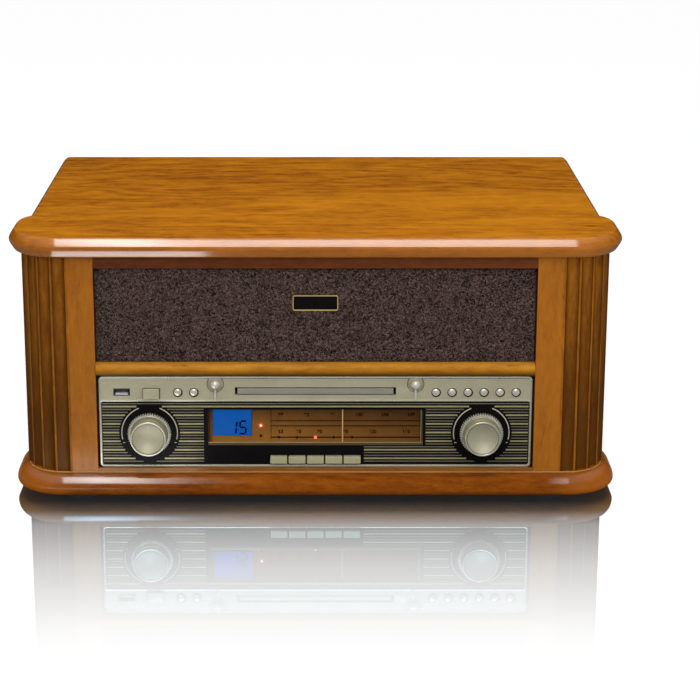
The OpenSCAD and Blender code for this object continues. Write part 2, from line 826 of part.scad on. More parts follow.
module jack_plate() {
    plate_y = back_y + jack_plate_t;
    color("#222222") difference() {
        union() {
            block([jack_x[0] - 16, back_y, jack_z - 14], [gland_x + 14, plate_y, jack_z + 14]);
            for (x = jack_x) {
                to_front(x, jack_tip_y, jack_z, 4.15, jack_tip_y - plate_y + eps);
                to_front(x, back_y + eps, jack_z, 5.5, back_t);
            }
            to_front(gland_x, y_back, jack_z, 8, y_back - plate_y + eps);
            to_front(gland_x, back_y + eps, jack_z, 6, back_t + 4);
        }
        for (x = jack_x) to_front(x, jack_tip_y + cut, jack_z, 1.7, 9 + cut);
        to_front(gland_x, y_back + cut, jack_z, 3.6, 40);
    }
}

module main_board() {
    z = z_body + 7;
    color("darkgreen") {
        block([-110, 10, z], [110, 145, z + board_t]);
        for (x = [-104, 104], y = [16, 139]) translate([x, y, z_body]) cylinder(r = 3, h = 7);
        block([-60, 120, z + board_t], [20, 126, z + 32]);
        for (x = [40, 62, 84]) translate([x, 120, z + board_t]) cylinder(r = 8, h = 24);
        block([-20, 50, z + board_t], [15, 85, z + 5]);
        // tuning gang and its shaft block
        block([60, 20, z + board_t], [90, 50, z + 24]);
    }
    // bank of switches behind the source keys, on its bracket
    color("darkslategray") {
        block([-2.7 * key_pitch, key_shank_y + 3.3, z_body + 2],
              [2.7 * key_pitch, key_shank_y + 18, z_body + 12]);
        block([-2.7 * key_pitch, key_shank_y + 3.3, z_body],
              [2.7 * key_pitch, key_shank_y + 26, z_body + 2]);
    }
}

module transformer() {
    color("darkslategray") {
        block([-190, 88, z_body], [-130, 138, z_body + 3]);
        block([-185, 98, z_body + 3], [-135, 128, z_body + 45]);
    }
    color("goldenrod") {
        block([-178, 90, z_body + 11], [-142, 98, z_body + 37]);
        block([-178, 128, z_body + 11], [-142, 136, z_body + 37]);
    }
}

// ---- disc player ----

module cd_tray() {
    lip_t = 2.5;
    c = [0, tray_y + lip_t + disc_r + 3];
    z = tray_z + 0.1;
    color("dimgray") union() {
        block([-tray_w / 2, tray_y, tray_z], [tray_w / 2, tray_y + lip_t, tray_z + tray_face_h]);
        difference() {
            block([-tray_w / 2 + 1, tray_y + lip_t - eps, z], [tray_w / 2 - 1, tray_y + tray_l, z + 4]);
            translate([c[0], c[1], z + 2.4]) cylinder(r = disc_r, h = 4, $fn = 96);
            translate([c[0], c[1], z + 1.6]) cylinder(r = 40.5, h = 4, $fn = 96);
            translate([c[0], c[1], z - cut]) cylinder(r = 19, h = 6);
            block([-19, c[1], z - cut], [19, c[1] + 52, z + 5]);
        }
    }
}

module cd_mechanism() {
    z0 = panel_z + 44.5;
    y0 = board_y + 1.9;
    y1 = y0 + 175;
    x = 72;
    color("gray") difference() {
        block([-x, y0, z0], [x, y1, panel_top - 1]);
        block([-x + 2, y0 - cut, z0 + 2], [x - 2, y1 - 2, panel_top - 3]);
    }
    color("dimgray") {
        for (side = [-1, 1]) block([side > 0 ? tray_w / 2 - 6 : -x + 2 - eps, y0, tray_z - 2.4],
                                   [side > 0 ? x - 2 + eps : -tray_w / 2 + 6, y1 - 20, tray_z - 0.4]);
        translate([0, tray_y + disc_r + 5.5, z0 + 1.9]) cylinder(r = 13, h = 9);
        translate([0, tray_y + disc_r + 5.5, z0 + 10.9]) cylinder(r = 7.3, h = 3);
        block([-15, -70, z0 + 1.9], [15, -40, z0 + 11]);
        block([-50, 5, z0 + 1.9], [-20, 20, z0 + 14]);
    }
}

// ---- record deck ----

module turntable_deck() {
    color("#26231f") difference() {
        union() {
            block([-wall_in_x + 0.3, deck_front_y, deck_z - deck_t],
                  [wall_in_x - 0.3, back_y - back_t - 0.3, deck_z]);
            translate([spindle[0], spindle[1], deck_z - 17]) cylinder(r = 9, h = 17);
            // rest for the tonearm
            in_arm_frame() translate([0, -arm_l + 51, 0]) {
                translate([0, 0, deck_z - eps]) cylinder(r = 4, h = 20);
                block([-4, -4, deck_z + 19], [6, 4, deck_z + 22.6]);
                block([arm_r + 0.5, -4, deck_z + 22], [6, 4, deck_z + 29]);
            }
        }
        for (side = [0, 1]) mirror([side, 0, 0])
            block([post_out_x - 0.5, deck_front_y - cut, deck_z - deck_t - cut],
                  [wall_in_x + cut, column_end_y + 0.4, deck_z + cut]);
        translate([spindle[0], spindle[1], deck_z - 18]) cylinder(r = 4 + run_fit, h = 20);
        translate([motor_at[0], motor_at[1], deck_z - 5]) cylinder(r = 4, h = 10);
        block([selector_at[0] - 12, selector_at[1] - 2, deck_z - 5],
              [selector_at[0] + 12, selector_at[1] + 2, deck_z + cut]);
    }
}

module platter() {
    color("silver") translate([spindle[0], spindle[1], 0]) union() {
        translate([0, 0, mat_z - 2.5]) cylinder(r = platter_r, h = 2.5, $fn = 120);
        difference() {
            translate([0, 0, platter_z]) cylinder(r = platter_r, h = platter_h - 1, $fn = 120);
            translate([0, 0, platter_z - cut])
                cylinder(r = platter_r - 4, h = platter_h + cut, $fn = 120);
        }
        difference() {
            translate([0, 0, platter_z + 0.5]) cylinder(r = belt_ring_r, h = platter_h - 2, $fn = 96);
            translate([0, 0, platter_z - cut])
                cylinder(r = belt_ring_r - 2, h = platter_h + cut, $fn = 96);
        }
        translate([0, 0, deck_z + 0.6]) cylinder(r = 12, h = mat_z - deck_z - 1);
        translate([0, 0, deck_z - 15]) cylinder(r = 4, h = 18);
        cylinder_between(boss_r, mat_z - 2, label_z);
        cylinder_between(spindle_r, mat_z - 2, spindle_top);
        translate([0, 0, spindle_top]) cylinder(r1 = spindle_r, r2 = 1.5, h = 1.5);
    }
}

module cylinder_between(r, z0, z1) {
    translate([0, 0, z0]) cylinder(r = r, h = z1 - z0);
}

module slip_mat() {
    color("#2b2b2b") translate([spindle[0], spindle[1], mat_z]) difference() {
        cylinder(r = platter_r - 3, h = mat_t, $fn = 120);
        translate([0, 0, -cut]) cylinder(r = boss_r + 0.15, h = mat_t + 2 * cut);
        translate([0, 0, label_z - mat_z]) cylinder(r = 51, h = 1);
    }
}

// Closed loop round two circles of radius big and small, motor_off apart
belt_lean = acos((belt_ring_r - pulley_r) / motor_off);
function belt_loop(big, small) = concat(
    [for (k = [0:48]) let (a = belt_lean + (360 - 2 * belt_lean) * k / 48) big * [cos(a), sin(a)]],
    [for (k = [0:12]) let (a = -belt_lean + 2 * belt_lean * k / 12)
          [motor_off, 0] + small * [cos(a), sin(a)]]);

module drive_belt() {
    color("#1a1a1a") translate([spindle[0], spindle[1], platter_z + 2]) rotate([0, 0, motor_dir])
        linear_extrude(belt_h) difference() {
            polygon(belt_loop(belt_ring_r + fit + belt_t, pulley_r + fit + belt_t));
            polygon(belt_loop(belt_ring_r + fit, pulley_r + fit));
        }
}

motor_shaft_r = 1;

module motor() {
    color("silver") translate([motor_at[0], motor_at[1], 0]) difference() {
        union() {
            translate([0, 0, deck_z - deck_t - 22]) cylinder(r = 16, h = 20.5);
            translate([-22, -8, deck_z - deck_t - 1.6]) cube([44, 16, 1.6]);
        }
        translate([0, 0, deck_z - deck_t - 13]) cylinder(r = motor_shaft_r + run_fit, h = 14);
    }
}

module motor_pulley() {
    color("goldenrod") translate([motor_at[0], motor_at[1], 0]) union() {
        translate([0, 0, platter_z + 0.5]) cylinder(r = pulley_r, h = 6.5);
        translate([0, 0, deck_z - deck_t - 12])
            cylinder(r = motor_shaft_r, h = platter_z - deck_z + deck_t + 13);
    }
}

module in_arm_frame() {
    translate([arm_at[0], arm_at[1], 0]) rotate([0, 0, -arm_rest]) children();
}

module tonearm_turret() {
    color("dimgray") difference() {
        union() {
            translate([arm_at[0], arm_at[1], deck_z]) cylinder(r = 20, h = 3.5);
            translate([arm_at[0], arm_at[1], deck_z]) cylinder(r = 13, h = yoke_z - deck_z - 0.3);
            for (x = [-8, 5])
                block([cue_at[0] + x, cue_at[1] - 4, deck_z],
                      [cue_at[0] + x + 3, cue_at[1] + 4, cue_z + 4]);
            block([cue_at[0] - 8, cue_at[1] - 4, deck_z], [cue_at[0] + 8, cue_at[1] + 4, deck_z + 3]);
            block([arm_at[0] + 10, cue_at[1] - 2, deck_z], [cue_at[0] - 6, arm_at[1], deck_z + 3]);
        }
        translate([arm_at[0], arm_at[1], deck_z + 1]) cylinder(r = shaft_r + run_fit, h = 30);
        to_right(cue_at[0] - 10, cue_at[1], cue_z, 1.5 + run_fit, 20);
    }
}

module tonearm_yoke() {
    color("silver") in_arm_frame() difference() {
        union() {
            translate([0, 0, yoke_z]) cylinder(r = 12, h = 3);
            translate([0, 0, deck_z + 1.5]) cylinder(r = shaft_r, h = yoke_z - deck_z - 1);
            for (x = [-8, 5]) block([x, -5, yoke_z + 2], [x + 3, 5, arm_z + 4]);
        }
        to_right(-10, 0, arm_z, 1 + run_fit, 20);
    }
}

shell_turn = 20;

module tonearm() {
    color("silver") in_arm_frame() union() {
        to_front(0, 24, arm_z, arm_r, arm_l - 4);
        block([-4.6, -7, arm_z - 4.5], [4.6, 7, arm_z + 4.5]);
        to_right(-7.8, 0, arm_z, 1, 15.6);
        to_front(0, 42, arm_z, 10, 20);
        // headshell, cartridge and stylus
        translate([0, -arm_l + 12, arm_z]) rotate([0, 0, -shell_turn]) {
            block([-9, -22, -1.5], [9, 16, 1.5]);
            block([-6, -18, -8.5], [6, 4, -1]);
            block([-3, -14, -9.6], [3, -6, -8]);
            block([9 - eps, -12, -0.5], [19, -9, 0.7]);
        }
    }
}

module cue_lever() {
    color("dimgray") translate([cue_at[0], cue_at[1], cue_z]) union() {
        to_right(-4.7, 0, 0, 4, 9.4);
        to_right(-7.8, 0, 0, 1.5, 15.6);
        rotate([-14, 0, 0]) {
            block([-2, -24, -1.5], [2, 0, 1.5]);
            to_right(-4, -24, 0, 3, 8);
        }
    }
}

module speed_selector() {
    color("dimgray") translate([selector_at[0], selector_at[1], 0]) union() {
        block([-4, -5, deck_z + 0.3], [4, 5, deck_z + 6]);
        block([-3, -1.7, deck_z - 6], [3, 1.7, deck_z + 0.4]);
    }
}

// ---- cassette player ----

flap_half_w = slot_w / 2 - 0.6;

module cassette_flap() {
    color("#222222") union() {
        block([flap_x - flap_t / 2, slot_y - flap_half_w, slot_z - 0.2],
              [flap_x + flap_t / 2, slot_y + flap_half_w, flap_axis_z]);
        to_front(flap_x, slot_y + flap_half_w, flap_axis_z, 1.2, 2 * flap_half_w);
        to_front(flap_x, slot_y + flap_half_w + 3, flap_axis_z, 0.9, 2 * flap_half_w + 6);
    }
}

module cassette_mechanism() {
    half = slot_w / 2;
    out_x = wall_in_x - 0.4;
    back_x = chamber_back_x;
    color("dimgray") difference() {
        block([back_x - 6, slot_y - half - 6, chamber_z - 3.2],
              [out_x, slot_y + half + 6, chamber_top + 3.2]);
        block([back_x, slot_y - half, chamber_z], [out_x + cut, slot_y + half, chamber_top]);
        to_front(flap_x, slot_y + half + 4, flap_axis_z, 0.9 + run_fit, slot_w + 8);
    }
    color("silver") block([back_x - 28, slot_y - 30, chamber_z - 3.2],
                          [back_x - 6 + eps, slot_y + 30, chamber_top + 3.2]);
    color("gray") block([back_x - eps, slot_y - 12, chamber_z + 5],
                        [back_x + 4, slot_y + 12, chamber_z + 13]);
}

module cassette_button() {
    color("#222222") union() {
        to_right(wall_in_x - 4, eject_y, slot_mid_z, 4, wall_t + 6.5);
        to_right(wall_in_x - 1.8, eject_y, slot_mid_z, 5.5, 1.5);
    }
}

lid_panel();
plinth();
side_panels();
fluted_columns();
front_frame();
divider_bar();
back_panel();
feet();
cabinet_screws();
hinge_leaves();
lid_leaves();
stay_rail();
lid_stay();
speaker_baffle();
grille_cloth();
badge_plate();
speaker_drivers();
fascia_bezel();
stripe_plate();
dial_window();
dial_scale();
dial_pointer();
display_board();
volume_knob();
tuning_knob();
trim_pins();
power_button();
mode_button();
repeat_button();
open_button();
stop_button();
play_button();
back_button();
forward_button();
memory_button();
am_key();
fm_key();
disc_key();
tape_key();
phono_key();
usb_socket();
jack_plate();
cd_tray();
cd_mechanism();
main_board();
transformer();
turntable_deck();
platter();
slip_mat();
drive_belt();
motor();
motor_pulley();
tonearm_turret();
tonearm_yoke();
tonearm();
cue_lever();
speed_selector();
cassette_flap();
cassette_mechanism();
cassette_button();
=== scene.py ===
"""The looks of a stereo music centre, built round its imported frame; lengths are in millimetres."""

import json
import math

import bmesh
import bpy
import numpy as np
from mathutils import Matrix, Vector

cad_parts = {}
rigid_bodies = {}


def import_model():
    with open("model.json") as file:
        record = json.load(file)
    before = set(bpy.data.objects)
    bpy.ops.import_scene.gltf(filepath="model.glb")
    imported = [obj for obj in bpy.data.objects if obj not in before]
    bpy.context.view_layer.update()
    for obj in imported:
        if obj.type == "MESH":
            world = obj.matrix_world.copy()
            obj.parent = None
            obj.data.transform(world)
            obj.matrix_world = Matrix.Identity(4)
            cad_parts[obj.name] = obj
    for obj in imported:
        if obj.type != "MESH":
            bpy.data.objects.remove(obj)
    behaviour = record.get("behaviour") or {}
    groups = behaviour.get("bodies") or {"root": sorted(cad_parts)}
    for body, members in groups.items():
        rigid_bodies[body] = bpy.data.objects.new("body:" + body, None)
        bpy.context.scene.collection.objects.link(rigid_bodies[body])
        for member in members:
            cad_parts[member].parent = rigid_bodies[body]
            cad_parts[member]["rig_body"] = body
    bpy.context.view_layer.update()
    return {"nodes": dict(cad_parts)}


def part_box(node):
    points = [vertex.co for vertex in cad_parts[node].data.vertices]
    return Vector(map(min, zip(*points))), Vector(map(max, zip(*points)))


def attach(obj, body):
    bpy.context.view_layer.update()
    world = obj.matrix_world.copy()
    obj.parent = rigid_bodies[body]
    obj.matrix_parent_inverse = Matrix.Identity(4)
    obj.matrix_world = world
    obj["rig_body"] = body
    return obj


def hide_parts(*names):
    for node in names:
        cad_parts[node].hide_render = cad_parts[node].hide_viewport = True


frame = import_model()
nodes = frame["nodes"]
MM = 0.001


def span(node):
    """Lowest and highest corner of a CAD node, in millimetres."""
    low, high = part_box(node)
    return np.array(low) / MM, np.array(high) / MM


# ---- meshes ----


def close_up(mesh, angle=32):
    """Merges doubles, turns the faces outwards and keeps edges sharper than angle degrees sharp."""
    build = bmesh.new()
    build.from_mesh(mesh)
    bmesh.ops.remove_doubles(build, verts=build.verts, dist=1e-6)
    bmesh.ops.recalc_face_normals(build, faces=build.faces)
    build.to_mesh(mesh)
    build.free()
    mesh.polygons.foreach_set("use_smooth", np.ones(len(mesh.polygons), bool))
    mesh.set_sharp_from_angle(angle=math.radians(angle))


def put(mesh, name, material, body="root", replaces=()):
    """Makes a mesh a piece of the object: its finish, the body it rides on and the nodes it stands for."""
    piece = bpy.data.objects.new(name, mesh)
    bpy.context.scene.collection.objects.link(piece)
    if material:
        mesh.materials.clear()
        mesh.materials.append(material)
    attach(piece, body)
    if replaces:
        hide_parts(*replaces)
    return piece


def turned(points, axis):
    """Points (across, height, out), with out along the axis: front is -Y, back +Y, right +X, up +Z."""
    u, v, w = np.moveaxis(np.asarray(points, float), -1, 0)
    places = {"front": (u, -w, v), "back": (-u, w, v), "right": (w, u, v), "up": (u, v, w)}
    return np.stack(places[axis], -1)


class Shape:
    """Surfaces in millimetres that together become one piece."""

    def __init__(self):
        self.points = []
        self.faces = []
        self.count = 0

    def add(self, points, faces):
        points = np.asarray(points, float).reshape(-1, 3)
        self.points.append(points)
        self.faces += [[self.count + k for k in face] for face in faces]
        self.count += len(points)

    def rings(self, rings, caps=True):
        """A closed skin through rings, rows x points x 3: quads between rings, one face over each end."""
        rows, cols = rings.shape[:2]
        row, col = np.meshgrid(np.arange(rows - 1), np.arange(cols), indexing="ij")
        after = (col + 1) % cols
        corners = [row * cols + col, row * cols + after, (row + 1) * cols + after, (row + 1) * cols + col]
        faces = np.stack(corners, -1).reshape(-1, 4).tolist()
        if caps:
            faces += [list(range(cols)), list(range((rows - 1) * cols, rows * cols))]
        self.add(rings, faces)

    def sheet(self, grid):
        """An open skin over a grid of points, rows x columns x 3."""
        rows, cols = grid.shape[:2]
        row, col = np.meshgrid(np.arange(rows - 1), np.arange(cols - 1), indexing="ij")
        first = row * cols + col
        corners = [first, first + 1, first + cols + 1, first + cols]
        self.add(grid, np.stack(corners, -1).reshape(-1, 4).tolist())

    def lathe(self, centre, profile, axis="front", steps=64, teeth=0, hollow=False):
        """Turns profile, rows of (radius, height out, tooth depth), about an axis through centre.
        A tooth lowers the radius by its depth times a raised cosine, teeth times round;
        hollow closes the profile on itself."""
        rows = np.array([list(p) + [0] * (3 - len(p)) for p in profile], float)
        if hollow:
            rows = np.vstack([rows, rows[:1]])
        turn = np.linspace(0, 2 * math.pi, steps, endpoint=False)
        dent = 0.5 - 0.5 * np.cos(teeth * turn)
        radius = np.maximum(rows[:, :1], 1e-3) - rows[:, 2:3] * dent[None]
        out = np.broadcast_to(rows[:, 1:2], radius.shape)
        ring = np.stack([radius * np.cos(turn), radius * np.sin(turn), out], -1)
        self.rings(np.asarray(centre, float) + turned(ring, axis), caps=not hollow)

    def slab(self, low, high, corner=0.5, edge=0.2, axis="front"):
        """A plate between two corners that faces along axis, with round corners and quarter-round edges."""
        low, high = np.asarray(low, float), np.asarray(high, float)
        face = {"front": (0, 2, 1), "back": (0, 2, 1), "right": (1, 2, 0), "up": (0, 1, 2)}[axis]
        (u0, v0, w0), (u1, v1, w1) = low[list(face)], high[list(face)]
        bend = np.linspace(0, math.pi / 2, 4)
        insets = np.concatenate([edge * (1 - np.sin(bend)), edge * (1 - np.cos(bend))])
        outs = np.concatenate([w0 + edge * (1 - np.cos(bend)), w1 - edge * (1 - np.sin(bend))])
        rings = []
        for inset, out in zip(insets, outs):
            uv = round_rectangle(u0 + inset, u1 - inset, v0 + inset, v1 - inset, max(corner - inset, 0.02))
            ring = np.zeros((len(uv), 3))
            ring[:, face[0]] = uv[:, 0]
            ring[:, face[1]] = uv[:, 1]
            ring[:, face[2]] = out
            rings.append(ring)
        self.rings(np.array(rings))

    def tube(self, path, radius, closed=False, sides=10, squash=1.0):
        """A round bar of that radius along path; squash flattens it along Y."""
        path = np.asarray(path, float)
        ahead = np.roll(path, -1, 0) if closed else np.vstack([path[1:], 2 * path[-1] - path[-2]])
        behind = np.roll(path, 1, 0) if closed else np.vstack([2 * path[0] - path[1], path[:-1]])
        along = ahead - behind
        along /= np.linalg.norm(along, axis=1)[:, None]
        depth = np.tile([0.0, 1.0, 0.0], (len(path), 1))
        side = np.cross(along, depth)
        side /= np.linalg.norm(side, axis=1)[:, None]
        depth = np.cross(side, along)
        turn = np.linspace(0, 2 * math.pi, sides, endpoint=False)
        across, deep = np.cos(turn)[:, None], squash * np.sin(turn)[:, None]
        rings = path[:, None] + radius * (across * side[:, None] + deep * depth[:, None])
        if closed:
            rings = np.vstack([rings, rings[:1]])
        self.rings(rings, caps=not closed)

    def mesh(self, name, angle=32):
        mesh = bpy.data.meshes.new(name)
        mesh.from_pydata((np.vstack(self.points) * MM).tolist(), [], self.faces)
        close_up(mesh, angle)
        return mesh

    def piece(self, name, material, body="root", slot=None, replaces=(), angle=32):
        return put(self.mesh(name, angle), name, material, body, replaces)


def arc(centre, radius, start, end, steps):
    """Points of a circle's arc between two angles in degrees."""
    turn = np.radians(np.linspace(start, end, steps))
    return np.stack([centre[0] + radius * np.cos(turn), centre[1] + radius * np.sin(turn)], -1)


def round_rectangle(u0, u1, v0, v1, radius, steps=5):
    """Outline of a rectangle whose corners are quarter circles."""
    right, left, top, bottom = u1 - radius, u0 + radius, v1 - radius, v0 + radius
    corners = ((right, top), (left, top), (left, bottom), (right, bottom))
    return np.vstack([arc(c, radius, 90 * k, 90 * k + 90, steps) for k, c in enumerate(corners)])


def upright(outline, y):
    """An outline of (across, height) stood up in the plane at y."""
    return np.column_stack([outline[:, 0], np.full(len(outline), y), outline[:, 1]])


def level(outline, z):
    """An outline of (x, y) laid at height z."""
    return np.column_stack([outline, np.full(len(outline), z)])


def dome(radius, base, rise, steps=7, end=88):
    """Profile of a dome: radius times cosine and rise times sine of an angle from 0 to end degrees."""
    turn = np.radians(np.linspace(0, end, steps))
    return [(radius * math.cos(a), base + rise * math.sin(a)) for a in turn]


def body_of(node):
    return nodes[node]["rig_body"]


def softened(node, material, edge=0.35, angle=35):
    """A copy of a CAD node, flat faces joined and edges rounded by a Bevel; it replaces the node."""
    mesh = nodes[node].data.copy()
    build = bmesh.new()
    build.from_mesh(mesh)
    bmesh.ops.remove_doubles(build, verts=build.verts, dist=1e-6)
    bmesh.ops.dissolve_limit(build, angle_limit=math.radians(1), verts=build.verts, edges=build.edges)
    build.to_mesh(mesh)
    build.free()
    mesh.polygons.foreach_set("use_smooth", np.ones(len(mesh.polygons), bool))
    mesh.set_sharp_from_angle(angle=math.radians(angle))
    piece = put(mesh, node + "_rounded", material, body_of(node), [node])
    bevel = piece.modifiers.new("rounded edges", "BEVEL")
    bevel.width = edge * MM
    bevel.segments = 2
    bevel.limit_method = "ANGLE"
    bevel.angle_limit = math.radians(angle)
    bevel.harden_normals = True
    return piece


# ---- finishes ----


def opaque(value):
    """A colour of three numbers with a fourth for its cover; anything else as it is."""
    return (*value, 1) if isinstance(value, tuple) and len(value) == 3 else value


class Finish:
    """A node material; each method adds one kind of node and returns its output."""

    def __init__(self, name):
        self.material = bpy.data.materials.new(name)
        self.material.use_nodes = True
        self.tree = self.material.node_tree
        self.tree.nodes.clear()
        self.place = self.node("ShaderNodeTexCoord").outputs["Object"]

    def node(self, kind, inputs=None, **settings):
        made = self.tree.nodes.new(kind)
        for key, value in settings.items():
            setattr(made, key, value)
        for key, value in (inputs or {}).items():
            if isinstance(value, bpy.types.NodeSocket):
                self.tree.links.new(value, made.inputs[key])
            else:
                made.inputs[key].default_value = value
        return made

    def stretched(self, scale, offset=(0, 0, 0)):
        """Object coordinates times a scale a metre along each axis."""
        made = self.node("ShaderNodeMapping", {"Vector": self.place, "Scale": scale, "Location": offset})
        return made.outputs["Vector"]

    def noise(self, vector, detail=2.0, roughness=0.5, distortion=0.0):
        inputs = {"Vector": vector, "Scale": 1.0, "Detail": detail}
        inputs.update({"Roughness": roughness, "Distortion": distortion})
        return self.node("ShaderNodeTexNoise", inputs).outputs["Fac"]

    def math(self, operation, a, b=0.0):
        return self.node("ShaderNodeMath", {0: a, 1: b}, operation=operation).outputs[0]

    def between(self, value, low, high):
        """0 below low, 1 above high and even in between."""
        inputs = {"Value": value, "From Min": low, "From Max": high}
        return self.node("ShaderNodeMapRange", inputs).outputs["Result"]

    def ramp(self, value, stops):
        made = self.node("ShaderNodeValToRGB", {"Fac": value})
        steps = made.color_ramp.elements
        while len(steps) < len(stops):
            steps.new(0.5)
        for step, (at, colour) in zip(steps, stops):
            step.position = at
            step.color = (*colour, 1)
        return made.outputs["Color"]

    def mix(self, share, a, b):
        inputs = {0: share, 6: opaque(a), 7: opaque(b)}
        return self.node("ShaderNodeMix", inputs, data_type="RGBA").outputs[2]

    def bump(self, height, distance, strength=1.0):
        inputs = {"Height": height, "Distance": distance, "Strength": strength}
        return self.node("ShaderNodeBump", inputs).outputs["Normal"]

    def surface(self, **inputs):
        """The principled shader with these sockets, joined to the output."""
        sockets = {key.replace("_", " "): opaque(value) for key, value in inputs.items()}
        shader = self.node("ShaderNodeBsdfPrincipled", sockets)
        self.node("ShaderNodeOutputMaterial", {"Surface": shader.outputs[0]})
        return self.material


def along(grain, stretch, across):
    """Scale a metre for a pattern drawn out along one axis."""
    return tuple(stretch if axis == grain else across for axis in "xyz")


# Heights between which the painted shade in the columns' hollows and the painted shade under the bar grow to
# their full strength
FLUTE_SHADE_TOP_M, FLUTE_SHADE_FOOT_M = 0.19, 0.07
SHADE_TOP_M, SHADE_FOOT_M = 0.1115, 0.1045


def wood(
    name, grain, dark, middle, light,
    coat=0.1, shine=0.2, figure=1.0, hollows=False, polish_and_painted_light_ends=False, shaded_under=False,
):
    """Lacquered oak: faint rings of the figure, long and short streaks and dark pores, all drawn out along
    the grain. hollows paints shade where the attribute named hollow is above 0, darkest along each hollow's
    edges and darker towards the columns' foot. polish_and_painted_light_ends gives the plinth gloss from
    its middle to the left end and at the right corner, and paints light on both ends, which turn paler.
    shaded_under paints shade on the lower half of the bar."""
    f = Finish(name)
    broad = f.noise(f.stretched(along(grain, 1.6, 8.0)), detail=3, roughness=0.5, distortion=0.6)
    rings = f.math("SINE", f.math("MULTIPLY", broad, 90.0))
    long_lines = f.noise(f.stretched(along(grain, 12.0, 95.0)), detail=5, roughness=0.7, distortion=0.3)
    short_lines = f.noise(f.stretched(along(grain, 60.0, 220.0), (2, 5, 3)), detail=4, roughness=0.75)
    patches = f.noise(f.stretched(along(grain, 3.0, 9.0), (3, 7, 1)), detail=3)
    value = f.math("MULTIPLY", rings, 0.05 * figure)
    for lines, share in ((long_lines, 0.4), (short_lines, 0.62), (patches, 0.3)):
        value = f.math("ADD", value, f.math("MULTIPLY", f.math("SUBTRACT", lines, 0.5), share))
    value = f.math("ADD", value, 0.5)
    colour = f.ramp(value, [(0.36, dark), (0.5, middle), (0.64, light)])
    specks = f.noise(f.stretched(along(grain, 45.0, 260.0), (9, 1, 4)), detail=5, roughness=0.8)
    pores = f.math("MULTIPLY", f.between(specks, 0.57, 0.68), f.between(rings, 1.0, -0.6))
    colour = f.mix(f.math("MULTIPLY", pores, 0.6), colour, tuple(0.4 * c for c in dark))
    if hollows:
        # Painted shade in the flutes: darkest along each hollow's edges, and darker towards the columns'
        # foot.
        depth = f.node("ShaderNodeAttribute", attribute_name="hollow").outputs["Fac"]
        height = f.node("ShaderNodeSeparateXYZ", {0: f.place}).outputs[2]
        upper, lower = (
            f.ramp(depth, [(0.0, (0, 0, 0)), (0.10, (0.95,) * 3), (0.45, (half,) * 3), (1.0, (full,) * 3)])
            for half, full in ((0.55, 0.1), (0.85, 0.75))
        )
        flute_shade = f.mix(f.between(height, FLUTE_SHADE_TOP_M, FLUTE_SHADE_FOOT_M), upper, lower)
        colour = f.mix(flute_shade, colour, tuple(0.3 * c for c in dark))
    # Painted shade: the bar's lower half turns darker.
    if shaded_under:
        height = f.node("ShaderNodeSeparateXYZ", {0: f.place}).outputs[2]
        shade = f.between(height, SHADE_TOP_M, SHADE_FOOT_M)
        colour = f.mix(shade, colour, tuple(0.28 * c for c in dark))
    ripple = f.math("SUBTRACT", f.math("MULTIPLY", long_lines, 0.25), f.math("MULTIPLY", pores, 0.6))
    rough = f.math("SUBTRACT", 0.48, f.math("MULTIPLY", long_lines, 0.3))
    normal = f.bump(ripple, 0.00010, 0.5)
    if polish_and_painted_light_ends:
        parts = f.node("ShaderNodeSeparateXYZ", {0: f.place}).outputs
        side = parts[0]
        left = f.math("POWER", f.between(side, -0.03, -0.18), 2.4)
        right = f.between(side, 0.19, 0.225)
        coat = f.math("MULTIPLY", f.math("MAXIMUM", left, right), f.between(parts[2], 0.011, 0.014))
        # Painted light: both ends of the plinth turn paler.
        ends = f.between(f.math("ABSOLUTE", side), 0.195, 0.24)
        colour = f.mix(ends, colour, tuple(1.45 * c for c in light))
    return f.surface(
        Base_Color=colour,
        Roughness=rough,
        Normal=normal,
        Specular_IOR_Level=shine,
        Coat_Weight=coat,
        Coat_Roughness=0.15,
        Coat_IOR=1.85,
    )


def paint(
    name, colour, roughness=0.4, metallic=0.0,
    speckle=0.06, grain=900.0, relief=0.00004, brushed=None, shine=0.5,
):
    """Paint, plating or moulding: a fine mottle in colour, roughness and relief; brushed names the axis
    that its fine lines follow."""
    f = Finish(name)
    vector = f.stretched(along(brushed, 12.0, 2600.0) if brushed else (grain, grain, grain))
    fine = f.noise(vector, detail=3, roughness=0.6)
    worn = f.noise(f.stretched((38.0, 38.0, 38.0)), detail=3)
    tone = f.math("ADD", f.math("MULTIPLY", fine, 0.6), f.math("MULTIPLY", worn, 0.4))
    low, high = (tuple(c * (1 + k * speckle * 3) for c in colour) for k in (-1, 1))
    limits = {"Value": tone, "To Min": roughness * 0.82, "To Max": roughness * 1.2}
    rough = f.node("ShaderNodeMapRange", limits)
    return f.surface(
        Base_Color=f.ramp(tone, [(0.3, low), (0.7, high)]),
        Roughness=rough.outputs["Result"],
        Normal=f.bump(fine, relief, 0.6),
        Metallic=metallic,
        Specular_IOR_Level=shine,
    )


def glow(name, colour, strength):
    """A lit surface, a little uneven across its width."""
    f = Finish(name)
    cloud = f.noise(f.stretched((30.0, 30.0, 30.0)), detail=2)
    shade = f.ramp(cloud, [(0.3, tuple(c * 0.85 for c in colour)), (0.7, tuple(c * 1.1 for c in colour))])
    return f.surface(
        Base_Color=tuple(c * 0.3 for c in colour),
        Roughness=0.35,
        Specular_IOR_Level=0.12,
        Emission_Color=shade,
        Emission_Strength=strength,
    )


